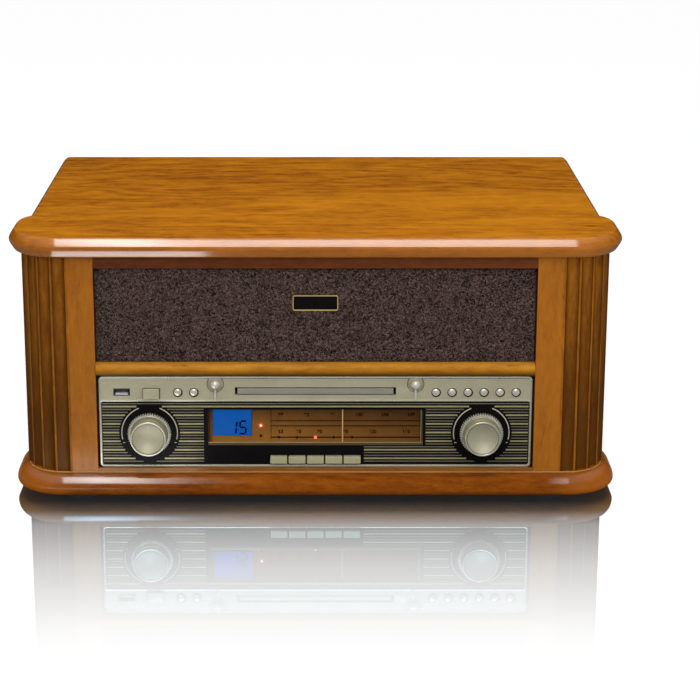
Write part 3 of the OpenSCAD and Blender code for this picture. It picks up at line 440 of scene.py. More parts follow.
OAK_TOP = wood(
    "lacquered oak, top", "x", (0.29, 0.080, 0.005), (0.48, 0.160, 0.007), (0.62, 0.228, 0.009),
    coat=1.0, shine=0.03,
)
# Painted shade: the nose is a darker copy of the top's wood, for the lower light on its front.
OAK_NOSE_PAINTED_SHADE = wood(
    "lacquered oak, nose, painted shade", "x", (0.23, 0.067, 0.004), (0.29, 0.090, 0.005), (0.345, 0.110, 0.006),
    coat=1.0, shine=0.03, figure=0.4,
)
OAK_POST = wood(
    "lacquered oak, posts", "z", (0.20, 0.063, 0.003), (0.245, 0.080, 0.004), (0.285, 0.096, 0.005),
    figure=0.5,
)
OAK_LEDGE = wood(
    "lacquered oak, lower rail", "x", (0.13, 0.044, 0.003), (0.17, 0.058, 0.004), (0.21, 0.072, 0.005),
    figure=0.4,
)
# Painted shade: the top rail's dark colour stands for the shadow under the lid's overhang.
OAK_RAIL_PAINTED_SHADE = wood(
    "lacquered oak, top rail, painted shade", "x", (0.065, 0.015, 0.002), (0.085, 0.020, 0.003), (0.11, 0.028, 0.004),
    figure=0.4,
)
OAK_SIDE = wood(
    "lacquered oak, sides", "y", (0.22, 0.066, 0.004), (0.32, 0.105, 0.005), (0.40, 0.14, 0.006),
    figure=0.9,
)
# Its hollows carry painted shade.
OAK_COLUMN = wood(
    "stained oak, columns, painted shade in the flutes", "z", (0.13, 0.039, 0.003), (0.20, 0.066, 0.004), (0.27, 0.095, 0.005),
    coat=0.0, shine=0.1, figure=0.3, hollows=True,
)
# Its ends carry painted light.
OAK_PLINTH = wood(
    "lacquered oak, plinth", "x", (0.105, 0.025, 0.003), (0.155, 0.040, 0.004), (0.205, 0.057, 0.005),
    shine=0.0, figure=0.5, polish_and_painted_light_ends=True,
)
# Painted highlight: the pale colour of the bead along the plinth's top edge.
OAK_EDGE_PAINTED_HIGHLIGHT = paint("pale edge, painted highlight", (0.34, 0.19, 0.06), 0.4, speckle=0.08)
OAK_BAR = wood(
    "lacquered oak, bar", "x", (0.24, 0.093, 0.007), (0.32, 0.132, 0.009), (0.385, 0.17, 0.011),
    coat=0.0, shine=0.05, figure=0.4, shaded_under=True,
)
CHAMPAGNE = paint(
    "champagne metallic paint", (0.35, 0.325, 0.222), 0.38, metallic=0.35, speckle=0.05, grain=2500.0
)
# Pale trim whose brightness also stands in for the light that beads and rims catch: partly painted highlight.
BRIGHT_LINE = paint("bright champagne trim", (0.50, 0.48, 0.39), 0.28, metallic=0.6, speckle=0.03)
BRIGHT_TRIM = paint(
    "pale champagne trim", (0.50, 0.485, 0.40), 0.3, metallic=0.35, speckle=0.02, grain=1500.0
)
TRAY_FRONT = paint("grey champagne, tray", (0.26, 0.25, 0.20), 0.4, metallic=0.4, speckle=0.04, brushed="x")
KEY_FACE = paint("pale champagne keys", (0.295, 0.277, 0.165), 0.4, metallic=0.15, speckle=0.03)
ARC_PRINT = paint("pale arc print", (0.36, 0.33, 0.25), 0.4, speckle=0.03)
SILL = paint("olive dial sill", (0.055, 0.038, 0.014), 0.5, speckle=0.06, shine=0.2)
BADGE_GOLD = paint("gold badge rim", (0.45, 0.33, 0.13), 0.35, metallic=0.35, speckle=0.05)
KNOB_CAP = paint("champagne knob, turned", (0.285, 0.271, 0.188), 0.52, metallic=0.25, speckle=0.04)
BUTTON_DOME = paint("bright button", (0.60, 0.585, 0.48), 0.26, metallic=0.55, speckle=0.02)
KNOB_SKIRT = paint("champagne knob, skirt", (0.24, 0.225, 0.12), 0.38, metallic=0.4, speckle=0.05)
BLACK_FIELD = paint("black lacquered plate", (0.003, 0.0025, 0.0025), 0.42, speckle=0.1, shine=0.08)
GOLD_STRIPE = paint("gold stripe print", (0.30, 0.272, 0.13), 0.35, metallic=0.4, speckle=0.05)
GREY_STRIPE = paint("grey stripe print", (0.125, 0.117, 0.077), 0.4, metallic=0.4, speckle=0.05)
BLACK_PLASTIC = paint("black moulded plastic", (0.018, 0.018, 0.018), 0.5, speckle=0.08, relief=0.00008)
GROOVE_LINE = paint("panel groove", (0.045, 0.040, 0.027), 0.6, speckle=0.1, shine=0.1)
# Painted shadow for the gaps round the panel and round the buttons.
SHADOW_LINE = paint("dark brown seal", (0.010, 0.005, 0.002), 0.7, speckle=0.1, shine=0.05)
GREY_PLASTIC = paint("grey moulded plastic", (0.16, 0.16, 0.165), 0.5, speckle=0.06, relief=0.00008)
RUBBER = paint("black rubber", (0.02, 0.02, 0.02), 0.75, speckle=0.12, relief=0.0001)
FOOT_RUBBER = paint("grey rubber", (0.07, 0.07, 0.07), 0.75, speckle=0.12, relief=0.0001)
STEEL = paint("zinc plated steel", (0.55, 0.55, 0.53), 0.35, metallic=1.0, speckle=0.06, brushed="x")
BRASS = paint("satin brass", (0.62, 0.43, 0.16), 0.32, metallic=1.0, speckle=0.06, brushed="x")
CHROME = paint("bright steel", (0.70, 0.70, 0.70), 0.18, metallic=1.0, speckle=0.02)
ALUMINIUM = paint("turned aluminium", (0.66, 0.66, 0.66), 0.3, metallic=1.0, speckle=0.03)
DARK_METAL = paint("black painted steel", (0.03, 0.03, 0.03), 0.45, speckle=0.1)
BOARD = paint("stained fibreboard", (0.11, 0.060, 0.030), 0.75, speckle=0.16, grain=420.0, relief=0.0002)
BLACK_BOARD = paint(
    "black fibreboard", (0.018, 0.017, 0.016), 0.8, speckle=0.15, grain=420.0, relief=0.0002
)
SOLDER_MASK = paint("green solder mask", (0.02, 0.12, 0.05), 0.35, speckle=0.1)
LAMINATION = paint(
    "varnished laminations", (0.07, 0.06, 0.055), 0.4, metallic=0.6, speckle=0.1, brushed="x"
)
LILAC_PLASTIC = paint("lilac grey plastic", (0.30, 0.28, 0.33), 0.4, speckle=0.03)
WHITE_PLASTIC = paint("white moulded plastic", (0.75, 0.74, 0.70), 0.4, speckle=0.03)
RED_PLASTIC = paint("red moulded plastic", (0.55, 0.02, 0.02), 0.4, speckle=0.05)
LCD_BLUE = glow("blue lit display", (0.001, 0.075, 0.33), 0.85)
LCD_DARK = paint("display segments", (0.000, 0.002, 0.02), 0.6, shine=0.0)
LED_LIT = glow("lit red lamp", (1.0, 0.10, 0.05), 3.0)
LED_CORE = glow("lit lamp core", (1.0, 0.55, 0.42), 3.0)
LED_DARK = paint("unlit lamp", (0.010, 0.003, 0.002), 0.5, shine=0.1)
SCALE_PRINT = paint("dark brown print", (0.005, 0.0015, 0.0005), 0.7, shine=0.0)
POINTER = glow("pale amber pointer", (0.62, 0.38, 0.13), 0.55)


# ---- wooden boards ----

# Plan of lid and plinth: corner arc, straight run of the ear, arc back in, step in to the side, rear arc
CORNER_R = 43
EAR_RUN = 26
EAR_BACK_R = 33
EAR_STEP = 9
REAR_R = 7


def board_plan(box, inset):
    """Outline of a board, set in by inset: corner arc, straight ear, arc back in, straight side, rear arc."""
    low, high = box
    corner = (high[0] - CORNER_R, low[1] + CORNER_R)
    ear = (high[0] - EAR_BACK_R, low[1] + CORNER_R + EAR_RUN)
    side = high[0] - EAR_STEP
    turn = math.degrees(math.acos((side - inset - ear[0]) / (EAR_BACK_R - inset)))
    rear = np.radians(np.linspace(0, 90, 9))
    rear_x = side - REAR_R + (REAR_R - inset) * np.cos(rear)
    half = np.vstack([
        arc(corner, CORNER_R - inset, -90, 0, 33),
        arc(ear, EAR_BACK_R - inset, 0, turn, 17),
        np.stack([rear_x, high[1] - REAR_R + REAR_R * np.sin(rear)], -1),
    ])
    return np.vstack([half, half[::-1] * (-1, 1)])


def board(box, profile):
    """A board whose edge follows profile, rows of (set in, height), with one ring of the plan for each."""
    shape = Shape()
    shape.rings(np.array([level(board_plan(box, inset), height) for inset, height in profile]))
    return shape


def carved(piece, cutter):
    """Takes a cutter's solids out of a piece for good."""
    tool = bpy.data.objects.new("cutter", cutter.mesh("cutter"))
    bpy.context.scene.collection.objects.link(tool)
    hollow = piece.modifiers.new("hollow", "BOOLEAN")
    hollow.operation = "DIFFERENCE"
    hollow.solver = "EXACT"
    hollow.use_self = True
    hollow.object = tool
    bpy.context.view_layer.update()
    seen = piece.evaluated_get(bpy.context.evaluated_depsgraph_get())
    mesh = bpy.data.meshes.new_from_object(seen)
    piece.modifiers.remove(hollow)
    piece.data = mesh
    bpy.data.objects.remove(tool)
    mesh.polygons.foreach_set("use_smooth", np.ones(len(mesh.polygons), bool))
    mesh.set_sharp_from_angle(angle=math.radians(32))


def lid():
    """The lid board, hollowed over the deck and at each hinge. Its nose is a curve whose angle to the upright
    changes evenly between the values of nose_angles, so it meets top and bottom at a crisp edge."""
    low, high = span("lid_panel")
    nose_lengths, nose_angles = [0, 0.05, 0.42, 0.60, 0.92, 1], [-62, -37, -25.5, 22, 46, 62]
    turns = np.interp(np.linspace(0, 1, 61), nose_lengths, np.radians(nose_angles))
    steps = np.stack([np.sin(turns), np.cos(turns)], -1)[:-1]
    steps *= (high[2] - low[2]) / steps[:, 1].sum()
    edge = np.vstack([[0, low[2]], [0, low[2]] + np.cumsum(steps, 0)])
    edge[:, 0] -= edge[:, 0].min()
    foot, head = edge[0, 0], edge[-1, 0]
    profile = [(foot + 4, low[2]), (foot + 0.5, low[2]), *edge, (head + 0.5, high[2]), (head + 4, high[2])]
    piece = board((low, high), profile).piece("lid_board", OAK_TOP, "lid", "oak_top", ["lid_panel"])
    cutter = Shape()
    wall_in, pocket = 214.0, 8.0
    cutter.slab((-wall_in, low[1] + 26, low[2] - 5), (wall_in, high[1] - 17, low[2] + pocket), 3, 0.3, "up")
    hinge_x = 150
    for x in (-hinge_x, hinge_x):
        start, end = (x - 25.5, high[1] - 18, low[2] - 5), (x + 25.5, high[1] + 1, low[2] + 3.4)
        cutter.slab(start, end, 0.3, 0.1, "up")
    carved(piece, cutter)
    # The nose's faces take the darker copy of the top's wood: painted shade.
    build = bmesh.new()
    build.from_mesh(piece.data)
    nose_from = (low[2] + 0.2) * MM
    for face in build.faces:
        face.material_index = int(abs(face.normal.z) < 0.93 and face.calc_center_median().z > nose_from)
    build.to_mesh(piece.data)
    build.free()
    piece.data.materials.append(OAK_NOSE_PAINTED_SHADE)


def plinth():
    """The base board: a small round below, a wide quarter round above and a quirk where the case stands."""
    low, high = span("plinth")
    low_r, cove, quirk = 5.0, 11.0, 0.7
    up = high[2] - quirk - low[2] - low_r
    waist = low[2] + low_r
    bend, rise = np.radians(np.linspace(-90, 0, 13)), np.radians(np.linspace(6, 90, 19))
    below = np.stack([low_r * (1 - np.cos(bend)), waist + low_r * np.sin(bend)], -1)
    above = np.stack([cove * (1 - np.cos(rise)), waist + up * np.sin(rise)], -1)
    profile = [(low_r + 0.6, low[2]), *below, *above, (cove + 0.1, high[2] - quirk)]
    profile += [(cove - 0.15, high[2] - 0.45), (cove - 0.1, high[2] - 0.15)]
    profile += [(cove + 0.2, high[2]), (cove + 1.4, high[2])]
    board((low, high), profile).piece("plinth_board", OAK_PLINTH, "root", "oak_plinth", ["plinth"])
    plan = board_plan((low, high), cove - 0.1)
    # A bead along the top edge; its pale colour is a painted highlight.
    line = Shape()
    line.tube(level(plan, high[2] - 0.42), 0.42, closed=True, sides=8)
    line.piece("plinth_highlight_line", OAK_EDGE_PAINTED_HIGHLIGHT, "root", "oak_plinth")


# Hollows of the columns: pitch along the outline, depth, and the fillet's share of the pitch
FLUTE_PITCH = 13
FLUTE_DEPTH = 2.2
FILLET = 0.12


def columns():
    """Both corner columns: the outline runs round a corner arc, a straight and an arc back in. Along its
    length each hollow dips by a parabola, with a narrow fillet between two hollows."""
    low, high = span("fluted_columns")
    front_low, front_high = span("front_frame")
    post_x = front_high[0]
    radius, run, back_r = high[0] - post_x, 16, 24
    centre = np.array([post_x, front_low[1] + radius])
    wall_x = span("side_panels")[1][0]
    turn = math.acos((wall_x - high[0] + back_r) / back_r)
    quarter = radius * math.pi / 2
    length = quarter + run + back_r * turn
    s = np.arange(0, length, FLUTE_PITCH / 26)
    u = (s / FLUTE_PITCH) % 1
    v = (u - FILLET) / (1 - FILLET)
    dip = np.where(v <= 0, 0, 1 - (2 * v - 1) ** 2)
    inward = FLUTE_DEPTH * dip
    a, b = s / radius, (s - quarter - run) / back_r
    first = centre + (radius - inward)[:, None] * np.stack([np.sin(a), -np.cos(a)], -1)
    second = np.stack([high[0] - inward, centre[1] + s - quarter], -1)
    back_centre = np.array([high[0] - back_r, centre[1] + run])
    third = back_centre + (back_r - inward)[:, None] * np.stack([np.cos(b), np.sin(b)], -1)
    outer = np.where((s < quarter)[:, None], first, np.where((s < quarter + run)[:, None], second, third))
    end_y = centre[1] + run + back_r * math.sin(turn)
    inner = [[wall_x, end_y], [wall_x - 9, end_y], [wall_x - 15, end_y - 20], [post_x, end_y - 36]]
    plan = np.vstack([outer, inner])
    depth = np.concatenate([dip, np.zeros(len(inner))])
    for side, name in ((1, "right"), (-1, "left")):
        shape = Shape()
        heights = np.linspace(low[2], high[2], 9)
        shape.rings(np.array([level(plan * (side, 1), z) for z in heights]))
        mesh = shape.mesh("column_" + name, 40)
        hollow = mesh.attributes.new("hollow", "FLOAT", "POINT")
        places = np.empty(3 * len(mesh.vertices), np.float32)
        mesh.vertices.foreach_get("co", places)
        at = places.reshape(-1, 3)[:, :2] / MM
        gap = np.abs(at[:, None] - (plan * (side, 1))[None]).sum(-1)
        hollow.data.foreach_set("value", depth[gap.argmin(1)].astype(np.float32))
        put(mesh, "column_" + name, OAK_COLUMN, "root", ["fluted_columns"])


def case():
    """Front frame, side walls, back and the half-round bar between grille and panel."""
    piece = softened("front_frame", OAK_POST, 0.7)
    opening = 179.3 * MM
    build = bmesh.new()
    build.from_mesh(piece.data)
    for side in (-opening, opening):
        parts = list(build.verts) + list(build.edges) + list(build.faces)
        bmesh.ops.bisect_plane(build, geom=parts, dist=1e-6, plane_co=(side, 0, 0), plane_no=(1, 0, 0))
    for face in build.faces:
        middle = face.calc_center_median()
        face.material_index = (1 if middle.z > 0.1 else 2) if abs(middle.x) < opening else 0
    build.to_mesh(piece.data)
    build.free()
    # The top rail takes the wood in painted shade.
    piece.data.materials.append(OAK_RAIL_PAINTED_SHADE)
    piece.data.materials.append(OAK_LEDGE)
    softened("side_panels", OAK_SIDE, 0.5)
    softened("back_panel", BOARD, 0.5)
    low, high = span("divider_bar")
    middle, radius = (low[2] + high[2]) / 2, (high[2] - low[2]) / 2
    turn = np.radians(np.linspace(90, 270, 25))
    front = np.stack([low[1] + radius + radius * np.cos(turn), middle + radius * np.sin(turn)], -1)
    outline = np.vstack([[high[1], high[2]], front, [high[1], low[2]]])
    shape = Shape()
    stations = np.linspace(low[0], high[0], 7)
    shape.rings(np.array([np.column_stack([np.full(len(outline), x), outline]) for x in stations]))
    shape.piece("half_round_bar", OAK_BAR, "root", "oak_bar", ["divider_bar"])
    shape = Shape()
    foot_x, foot_y = 195, 140
    rows = [(0, 0), (11.2, 0), (11.8, 0.5), (12, 1.2), (11.6, 5), (0, 5)]
    for x in (-foot_x, foot_x):
        for y in (-foot_y, foot_y):
            shape.lathe((x, y, 0), rows, "up", 40)
    shape.piece("feet_turned", FOOT_RUBBER, "root", "foot_rubber", ["feet"])


# ---- grille ----


def cloth_finish():
    """Coarse looped cloth: dark curls between brown-grey loops, with a fine weave in the relief."""
    f = Finish("coarse grille cloth")
    curl = f.noise(f.stretched((230.0, 230.0, 230.0)), detail=1.5, roughness=0.6, distortion=1.6)
    fleck = f.noise(f.stretched((800.0, 800.0, 800.0), (5, 2, 9)), detail=2, roughness=0.6, distortion=1.0)
    gap = f.math("ABSOLUTE", f.math("SUBTRACT", curl, 0.48))
    curls = f.between(gap, 0.015, 0.06)
    dark, middle, light = (0.027, 0.015, 0.011), (0.054, 0.033, 0.026), (0.125, 0.084, 0.074)
    tone = f.ramp(fleck, [(0.36, dark), (0.5, middle), (0.64, light)])
    colour = f.mix(curls, (0.003, 0.0015, 0.0012), tone)
    waves = {"Vector": f.stretched((900.0, 900.0, 900.0)), "Scale": 1.0, "Distortion": 4.0}
    threads = f.node("ShaderNodeTexWave", waves)
    height = f.math("ADD", f.math("MULTIPLY", curl, 1.0), f.math("MULTIPLY", threads.outputs["Fac"], 0.15))
    return f.surface(
        Base_Color=colour,
        Roughness=0.95,
        Normal=f.bump(height, 0.0009, 0.9),
        Specular_IOR_Level=0.1,
    )


def grille():
    """The cloth, a stretched sheet whose loops are the product of two sines on a warped grid, and the bare
    plate on it."""
    low, high = span("grille_cloth")
    x, z = np.meshgrid(np.arange(low[0], high[0] + 0.1, 1.1), np.arange(low[2], high[2] + 0.1, 1.1))
    warp_x = x + 1.3 * np.sin(0.83 * z + 0.9 * np.sin(0.37 * x))
    warp_z = z + 1.2 * np.sin(0.71 * x + 0.8 * np.sin(0.43 * z))
    loops = np.sin(2 * math.pi * warp_x / 4.1) * np.sin(2 * math.pi * warp_z / 3.7)
    y = low[1] + 0.3 - 0.22 * loops
    shape = Shape()
    shape.sheet(np.stack([x, y, z], -1))
    finish = cloth_finish()
    cloth = shape.piece("grille_sheet", finish, "root", "grille_fabric", ["grille_cloth"], angle=180)
    thick = cloth.modifiers.new("cloth thickness", "SOLIDIFY")
    thick.thickness = 0.7 * MM
    thick.offset = 1
    low, high = span("badge_plate")
    back = high[1]
    rim = Shape()
    rows = []
    for inset, out in ((0, 0), (0, 1.0), (0.25, 1.35), (0.55, 1.35), (0.8, 1.1), (0.85, 0.4)):
        across, up = (low[0] + inset, high[0] - inset), (low[2] + inset, high[2] - inset)
        uv = round_rectangle(*across, *up, 1.6 - inset, 7)
        rows.append(upright(uv, back - out))
    rim.rings(np.array(rows))
    rim.piece("badge_rim", BADGE_GOLD, "root", "badge_brass", ["badge_plate"])
    field = Shape()
    start, end = (low[0] + 0.8, back - 0.75, low[2] + 0.8), (high[0] - 0.8, back - 0.3, high[2] - 0.8)
    field.slab(start, end, 0.8, 0.1)
    field.piece("badge_field", BLACK_FIELD, "root", "badge_brass")


# ---- control panel ----

# Control panel: its face, the knobs with disc and arcs, the pin trims, the stripes, and the keys' clear span
FACE_Y = -161.0
KNOB_X = 136.6
KNOB_Z = 55.2
DISC_R = 25.1
ARC_R = 22.9
PIN_X = 82.0
STRIP_Z = 82.6
STRIPE_TOP = 80.5
STRIPE_PITCH = 2.49
STRIPE_COUNT = 21
PANEL_HALF = 177.5
KEYS_LEFT = -92.0
KEYS_RIGHT = 40.0

# Dial: ends of the scale, size of its numbers, the lamps that are lit, and the corners of the blue display
SCALE_LEFT = -36.7
SCALE_RIGHT = 87.5
NUMBER_SIZE = 4.2
LIT_LAMPS = ((-45.1, 59.9), (0.0, 49.5))
DISPLAY_LOW = (-84.7, 51.1)
DISPLAY_HIGH = (-52.8, 74.9)


def panel():
    """The champagne front: a bead round its edge and under its strip, a fine groove that dips round both
    recesses, and a dark strip of painted shadow round the opening."""
    softened("fascia_bezel", CHAMPAGNE, 0.28)
    low, high = span("fascia_bezel")
    line_z, recess_r, pin_z = high[2] - 1.5, 6.8, 97.4
    bead = Shape()
    uv = round_rectangle(-PANEL_HALF + 0.75, PANEL_HALF - 0.75, low[2] + 0.95, high[2] - 0.75, 2.6, 9)
    bead.tube(upright(uv, FACE_Y + 0.1), 0.7, closed=True, squash=0.6)
    ends = [(x, FACE_Y + 0.2, STRIP_Z + 0.7) for x in (-PANEL_HALF + 1.2, 0, PANEL_HALF - 1.2)]
    bead.tube(ends, 0.75, squash=0.6)
    bead.piece("panel_beads", BRIGHT_LINE, "root", "champagne_panel")
    groove = Shape()
    lift = math.degrees(math.asin((line_z - pin_z) / recess_r))
    path = [(-PANEL_HALF + 2.2, line_z)]
    for x in (-PIN_X, PIN_X):
        path += arc((x, pin_z), recess_r, 180 - lift, 360 + lift, 25).tolist()
    path.append((PANEL_HALF - 2.2, line_z))
    path = np.array(path)
    groove.tube(upright(path, FACE_Y), 0.24, sides=8, squash=0.4)
    groove.piece("panel_groove", GROOVE_LINE, "root", "champagne_panel")
    pads = Shape()
    for x in (-PIN_X, PIN_X):
        top = high[2] - 1
        uv = np.vstack([arc((x, pin_z + 0.4), 6.0, 180, 360, 25), [[x + 6.0, top], [x - 6.0, top]]])
        face = upright(uv, FACE_Y + 0.55)
        pads.rings(np.array([face, face + (0, 1.5, 0)]))
    pads.piece("recess_pads", CHAMPAGNE, "root", "champagne_panel")
    # Painted shadow: a dark strip in the gaps beside and under the panel.
    painted_shadow_gap = Shape()
    edge = PANEL_HALF + 1.7
    for x in (-edge, PANEL_HALF - 0.3):
        painted_shadow_gap.slab((x, FACE_Y + 0.4, low[2] - 0.5), (x + 2.0, FACE_Y + 3, high[2]), 0.2, 0.1)
    painted_shadow_gap.slab((-edge, FACE_Y + 0.2, low[2] - 1.5), (edge, FACE_Y + 3, low[2] + 0.3), 0.2, 0.1)
    painted_shadow_gap.piece("panel_painted_shadow_gap", SHADOW_LINE, "root", "champagne_panel")


def cut_out(spans, low, high):
    """The stretches in spans without the part between low and high."""
    kept = []
    for a, b in spans:
        if high <= a or low >= b:
            kept.append((a, b))
            continue
        if a < low:
            kept.append((a, low))
        if b > high:
            kept.append((high, b))
    return kept


def stripes():
    """Moulded stripes on the black plate, every third one wider and gold; they stop at dial, keys and knobs.
    Round each knob run two arcs with a short mark beside each end."""
    low, high = span("stripe_plate")
    softened("stripe_plate", BLACK_FIELD, 0.15)
    dial_low, dial_high = span("dial_window")
    gold, grey, arcs = Shape(), Shape(), Shape()
    for k in range(STRIPE_COUNT):
        z = STRIPE_TOP - STRIPE_PITCH * k
        spans = [(low[0] + 0.6, high[0] - 0.6)]
        if dial_low[2] - 0.9 < z < dial_high[2] + 0.9:
            spans = cut_out(spans, dial_low[0] - 3.6, dial_high[0] + 2.4)
        if z < dial_low[2] - 0.9:
            spans = cut_out(spans, KEYS_LEFT, KEYS_RIGHT)
        for x in (-KNOB_X, KNOB_X):
            if abs(z - KNOB_Z) < DISC_R:
                chord = math.sqrt(DISC_R**2 - (z - KNOB_Z) ** 2)
                spans = cut_out(spans, x - chord, x + chord)
        shape, thick = (gold, 0.62) if k % 3 == 1 else (grey, 0.42)
        for a, b in spans:
            shape.slab((a, low[1] - 0.35, z - thick), (b, low[1] + 0.1, z + thick), 0.2, 0.12)
    for x in (-KNOB_X, KNOB_X):
        for start, end in ((68, -14), (112, 194)):
            line = arc((x, KNOB_Z), ARC_R, start, end, 40)
            arcs.tube(upright(line, low[1]), 0.42, squash=0.6)
        for side in (-1, 1):
            mark_x, mark_z = x + side * 21.2, KNOB_Z - 8.3
            start, end = (mark_x - 0.9, low[1] - 0.3, mark_z - 0.3), (mark_x + 0.9, low[1], mark_z + 0.3)
            arcs.slab(start, end, 0.2, 0.1)
    arcs.piece("knob_arcs", ARC_PRINT, "root", "striped_plate")
    gold.piece("gold_stripes", GOLD_STRIPE, "root", "striped_plate")
    grey.piece("grey_stripes", GREY_STRIPE, "root", "striped_plate")


def amber_finish():
    """The dial's printed plate with painted light: brighter at the left and growing darker to the right and
    to the top, with a painted halo round each lit lamp."""
    f = Finish("amber dial plate")
    parts = f.node("ShaderNodeSeparateXYZ", {0: f.place}).outputs
    across = f.between(parts[0], -0.09, 0.09)
    up = f.between(parts[2], 0.044, 0.076)
    cloud = f.noise(f.stretched((70.0, 70.0, 70.0)), detail=3)
    # Painted light: brighter at the left, darker to the right and to the top, in colour and glow.
    light = f.math("SUBTRACT", 1.0, f.math("MULTIPLY", across, 0.5))
    light = f.math("MULTIPLY", light, f.math("SUBTRACT", 1.07, f.math("MULTIPLY", up, 0.62)))
    light = f.math("MULTIPLY", light, f.math("ADD", 0.85, f.math("MULTIPLY", cloud, 0.3)))
    colour = f.ramp(light, [(0.3, (0.035, 0.014, 0.003)), (1.0, (0.19, 0.078, 0.012))])
    colour = f.mix(f.between(parts[0], -0.0845, -0.0885), colour, (0.01, 0.004, 0.001))
    shown = colour
    for lamp, reach in zip(LIT_LAMPS, (0.0036, 0.0024)):
        squares = [f.math("POWER", f.math("SUBTRACT", parts[k], c * MM), 2.0) for k, c in zip((0, 2), lamp)]
        gap = f.math("SQRT", f.math("ADD", *squares))
        painted_halo = f.math("POWER", f.between(gap, reach, 0.0008), 1.5)
        shown = f.mix(painted_halo, shown, (0.95, 0.12, 0.05))
    return f.surface(
        Base_Color=colour,
        Roughness=0.5,
        Specular_IOR_Level=0.1,
        Emission_Color=shown,
        Emission_Strength=0.5,
    )


def print_number(shape, number, x, z, y):
    """Adds a plain number to a shape, set upright, centred at x and z and facing the front."""
    curve = bpy.data.curves.new("figure", "FONT")
    curve.body = str(number)
    curve.size = NUMBER_SIZE * MM
    curve.align_x = "CENTER"
    curve.align_y = "CENTER"
    curve.extrude = 0.04 * MM
    curve.offset = 0.12 * MM
    carrier = bpy.data.objects.new("figure", curve)
    bpy.context.scene.collection.objects.link(carrier)
    bpy.context.view_layer.update()
    mesh = bpy.data.meshes.new_from_object(carrier.evaluated_get(bpy.context.evaluated_depsgraph_get()))
    flat = np.empty(3 * len(mesh.vertices), np.float32)
    mesh.vertices.foreach_get("co", flat)
    flat = flat.reshape(-1, 3) / MM
    points = np.stack([flat[:, 0] + x, y - flat[:, 2], flat[:, 1] + z], -1)
    shape.add(points, [list(p.vertices) for p in mesh.polygons])
    bpy.data.objects.remove(carrier)


def scale_face():
    """Y of the dial's printed face, 1 mm behind the front of the display board."""
    return span("display_board")[0][1] + 1.0


def dial():
    """The amber plate with its scale lines and plain numbers, and the sill and lip of the window."""
    softened("dial_scale", amber_finish(), 0.15)
    plate_low, plate_high = span("dial_window")
    face = scale_face()
    lines = Shape()
    rows = {"numbers": 68.9, "upper": 63.6, "lower": 59.4, "figures": 54.3, "lamps": 49.5}
    for z in (rows["upper"], rows["lower"], rows["lamps"]):
        wide = 0.5 if z == rows["lamps"] else 0.3
        lines.slab((SCALE_LEFT, face - 0.12, z - wide), (SCALE_RIGHT, face + 0.02, z + wide), 0.1, 0.03)
    count, first, run = 62, SCALE_LEFT + 5, SCALE_RIGHT - SCALE_LEFT - 10
    upper, lower = rows["upper"], rows["lower"]
    for k in range(count + 1):
        tall = 1.5 if k % 5 == 0 else 0.9
        for x, z0, z1 in (
            (first + run * k / count, upper, upper + tall),
            (first + run * (k / count) ** 0.8, lower - tall, lower),
        ):
            lines.slab((x - 0.28, face - 0.1, z0), (x + 0.28, face + 0.02, z1), 0.05, 0.02)
    for x in (SCALE_LEFT, SCALE_RIGHT):
        lines.slab((x - 0.22, face - 0.12, 47.0), (x + 0.22, face + 0.02, plate_high[2] - 1), 0.1, 0.03)
    number_x, number_step, number_run = SCALE_LEFT + 8, 21.5, 107
    for k, number in enumerate((88, 92, 96, 100, 104, 108)):
        print_number(lines, number, number_x + k * number_step, rows["numbers"], face - 0.05)
    for number, share in ((53, 0), (60, 0.14), (70, 0.3), (90, 0.5), (120, 0.71), (160, 0.97)):
        print_number(lines, number, number_x + share * number_run, rows["figures"], face - 0.05)
    lines.piece("dial_print", SCALE_PRINT, "root", "amber_scale")
    (left, pane_y, base), (right, _, top) = plate_low, plate_high
    sill = Shape()
    sill.slab((left, pane_y - 0.25, base), (right, pane_y + 0.3, base + 2.2), 0.2, 0.1)
    sill.piece("dial_sill", SILL, "root", "striped_plate")
    lip = Shape()
    lip.slab((left, pane_y - 0.3, base + 2.1), (right, pane_y + 0.2, base + 2.65), 0.2, 0.1)
    lip.slab((right - 1.6, pane_y - 0.3, base + 2), (right - 1.1, pane_y + 0.2, top), 0.2, 0.1)
    lip.piece("dial_lip", KNOB_SKIRT, "root", "striped_plate")


def display():
    """The blue display with its two figures, on the board behind the window."""
    front = span("display_board")[0][1]
    softened("display_board", SOLDER_MASK, 0.15)
    screen = Shape()
    (x0, z0), (x1, z1) = DISPLAY_LOW, DISPLAY_HIGH
    screen.slab((x0, front - 0.25, z0), (x1, front + 0.1, z1), 0.3, 0.1)
    screen.piece("display_screen", LCD_BLUE, "root", "circuit_board")
    digits = Shape()
    for x, which in ((-71.0, "bc"), (-63.0, "afgcd")):
        segments(digits, x, 53.0, front - 0.32, which)
    digits.piece("display_digits", LCD_DARK, "root", "circuit_board")


def dial_lamps():
    """Domed lamps on the dial: two lit, the rest dark."""
    face = scale_face()
    for name, material, places, radius in (
        ("lamp_lit", LED_LIT, LIT_LAMPS, 1.15),
        ("lamp_core", LED_CORE, LIT_LAMPS[:1], 0.75),
        ("lamps_dark", LED_DARK, [(-45.1, 50.7)] + [(k * 15.15, 49.5) for k in (-2, -1, 1, 2)], 1.0),
    ):
        shape = Shape()
        out = 0.5 if name == "lamp_core" else 0
        for x, z in places:
            shape.lathe((x, face, z), [(radius, 0), *dome(radius, out + 0.55, 0.9 * radius)], steps=24)
        shape.piece(name, material, "root", "circuit_board")


def window():
    """The clear window and the pointer behind it."""
    pane = Finish("clear acrylic")
    mottle = pane.noise(pane.stretched((25.0, 25.0, 25.0)))
    clear = pane.surface(
        Base_Color=(0.02, 0.012, 0.008),
        Roughness=pane.math("MULTIPLY", mottle, 0.08),
        Alpha=0.05,
        Specular_IOR_Level=0.1,
    )
    shape = Shape()
    shape.slab(*span("dial_window"), 0.4, 0.1)
    shape.piece("dial_pane", clear, "root", "clear_window", ["dial_window"])
    softened("dial_pointer", POINTER, 0.1)


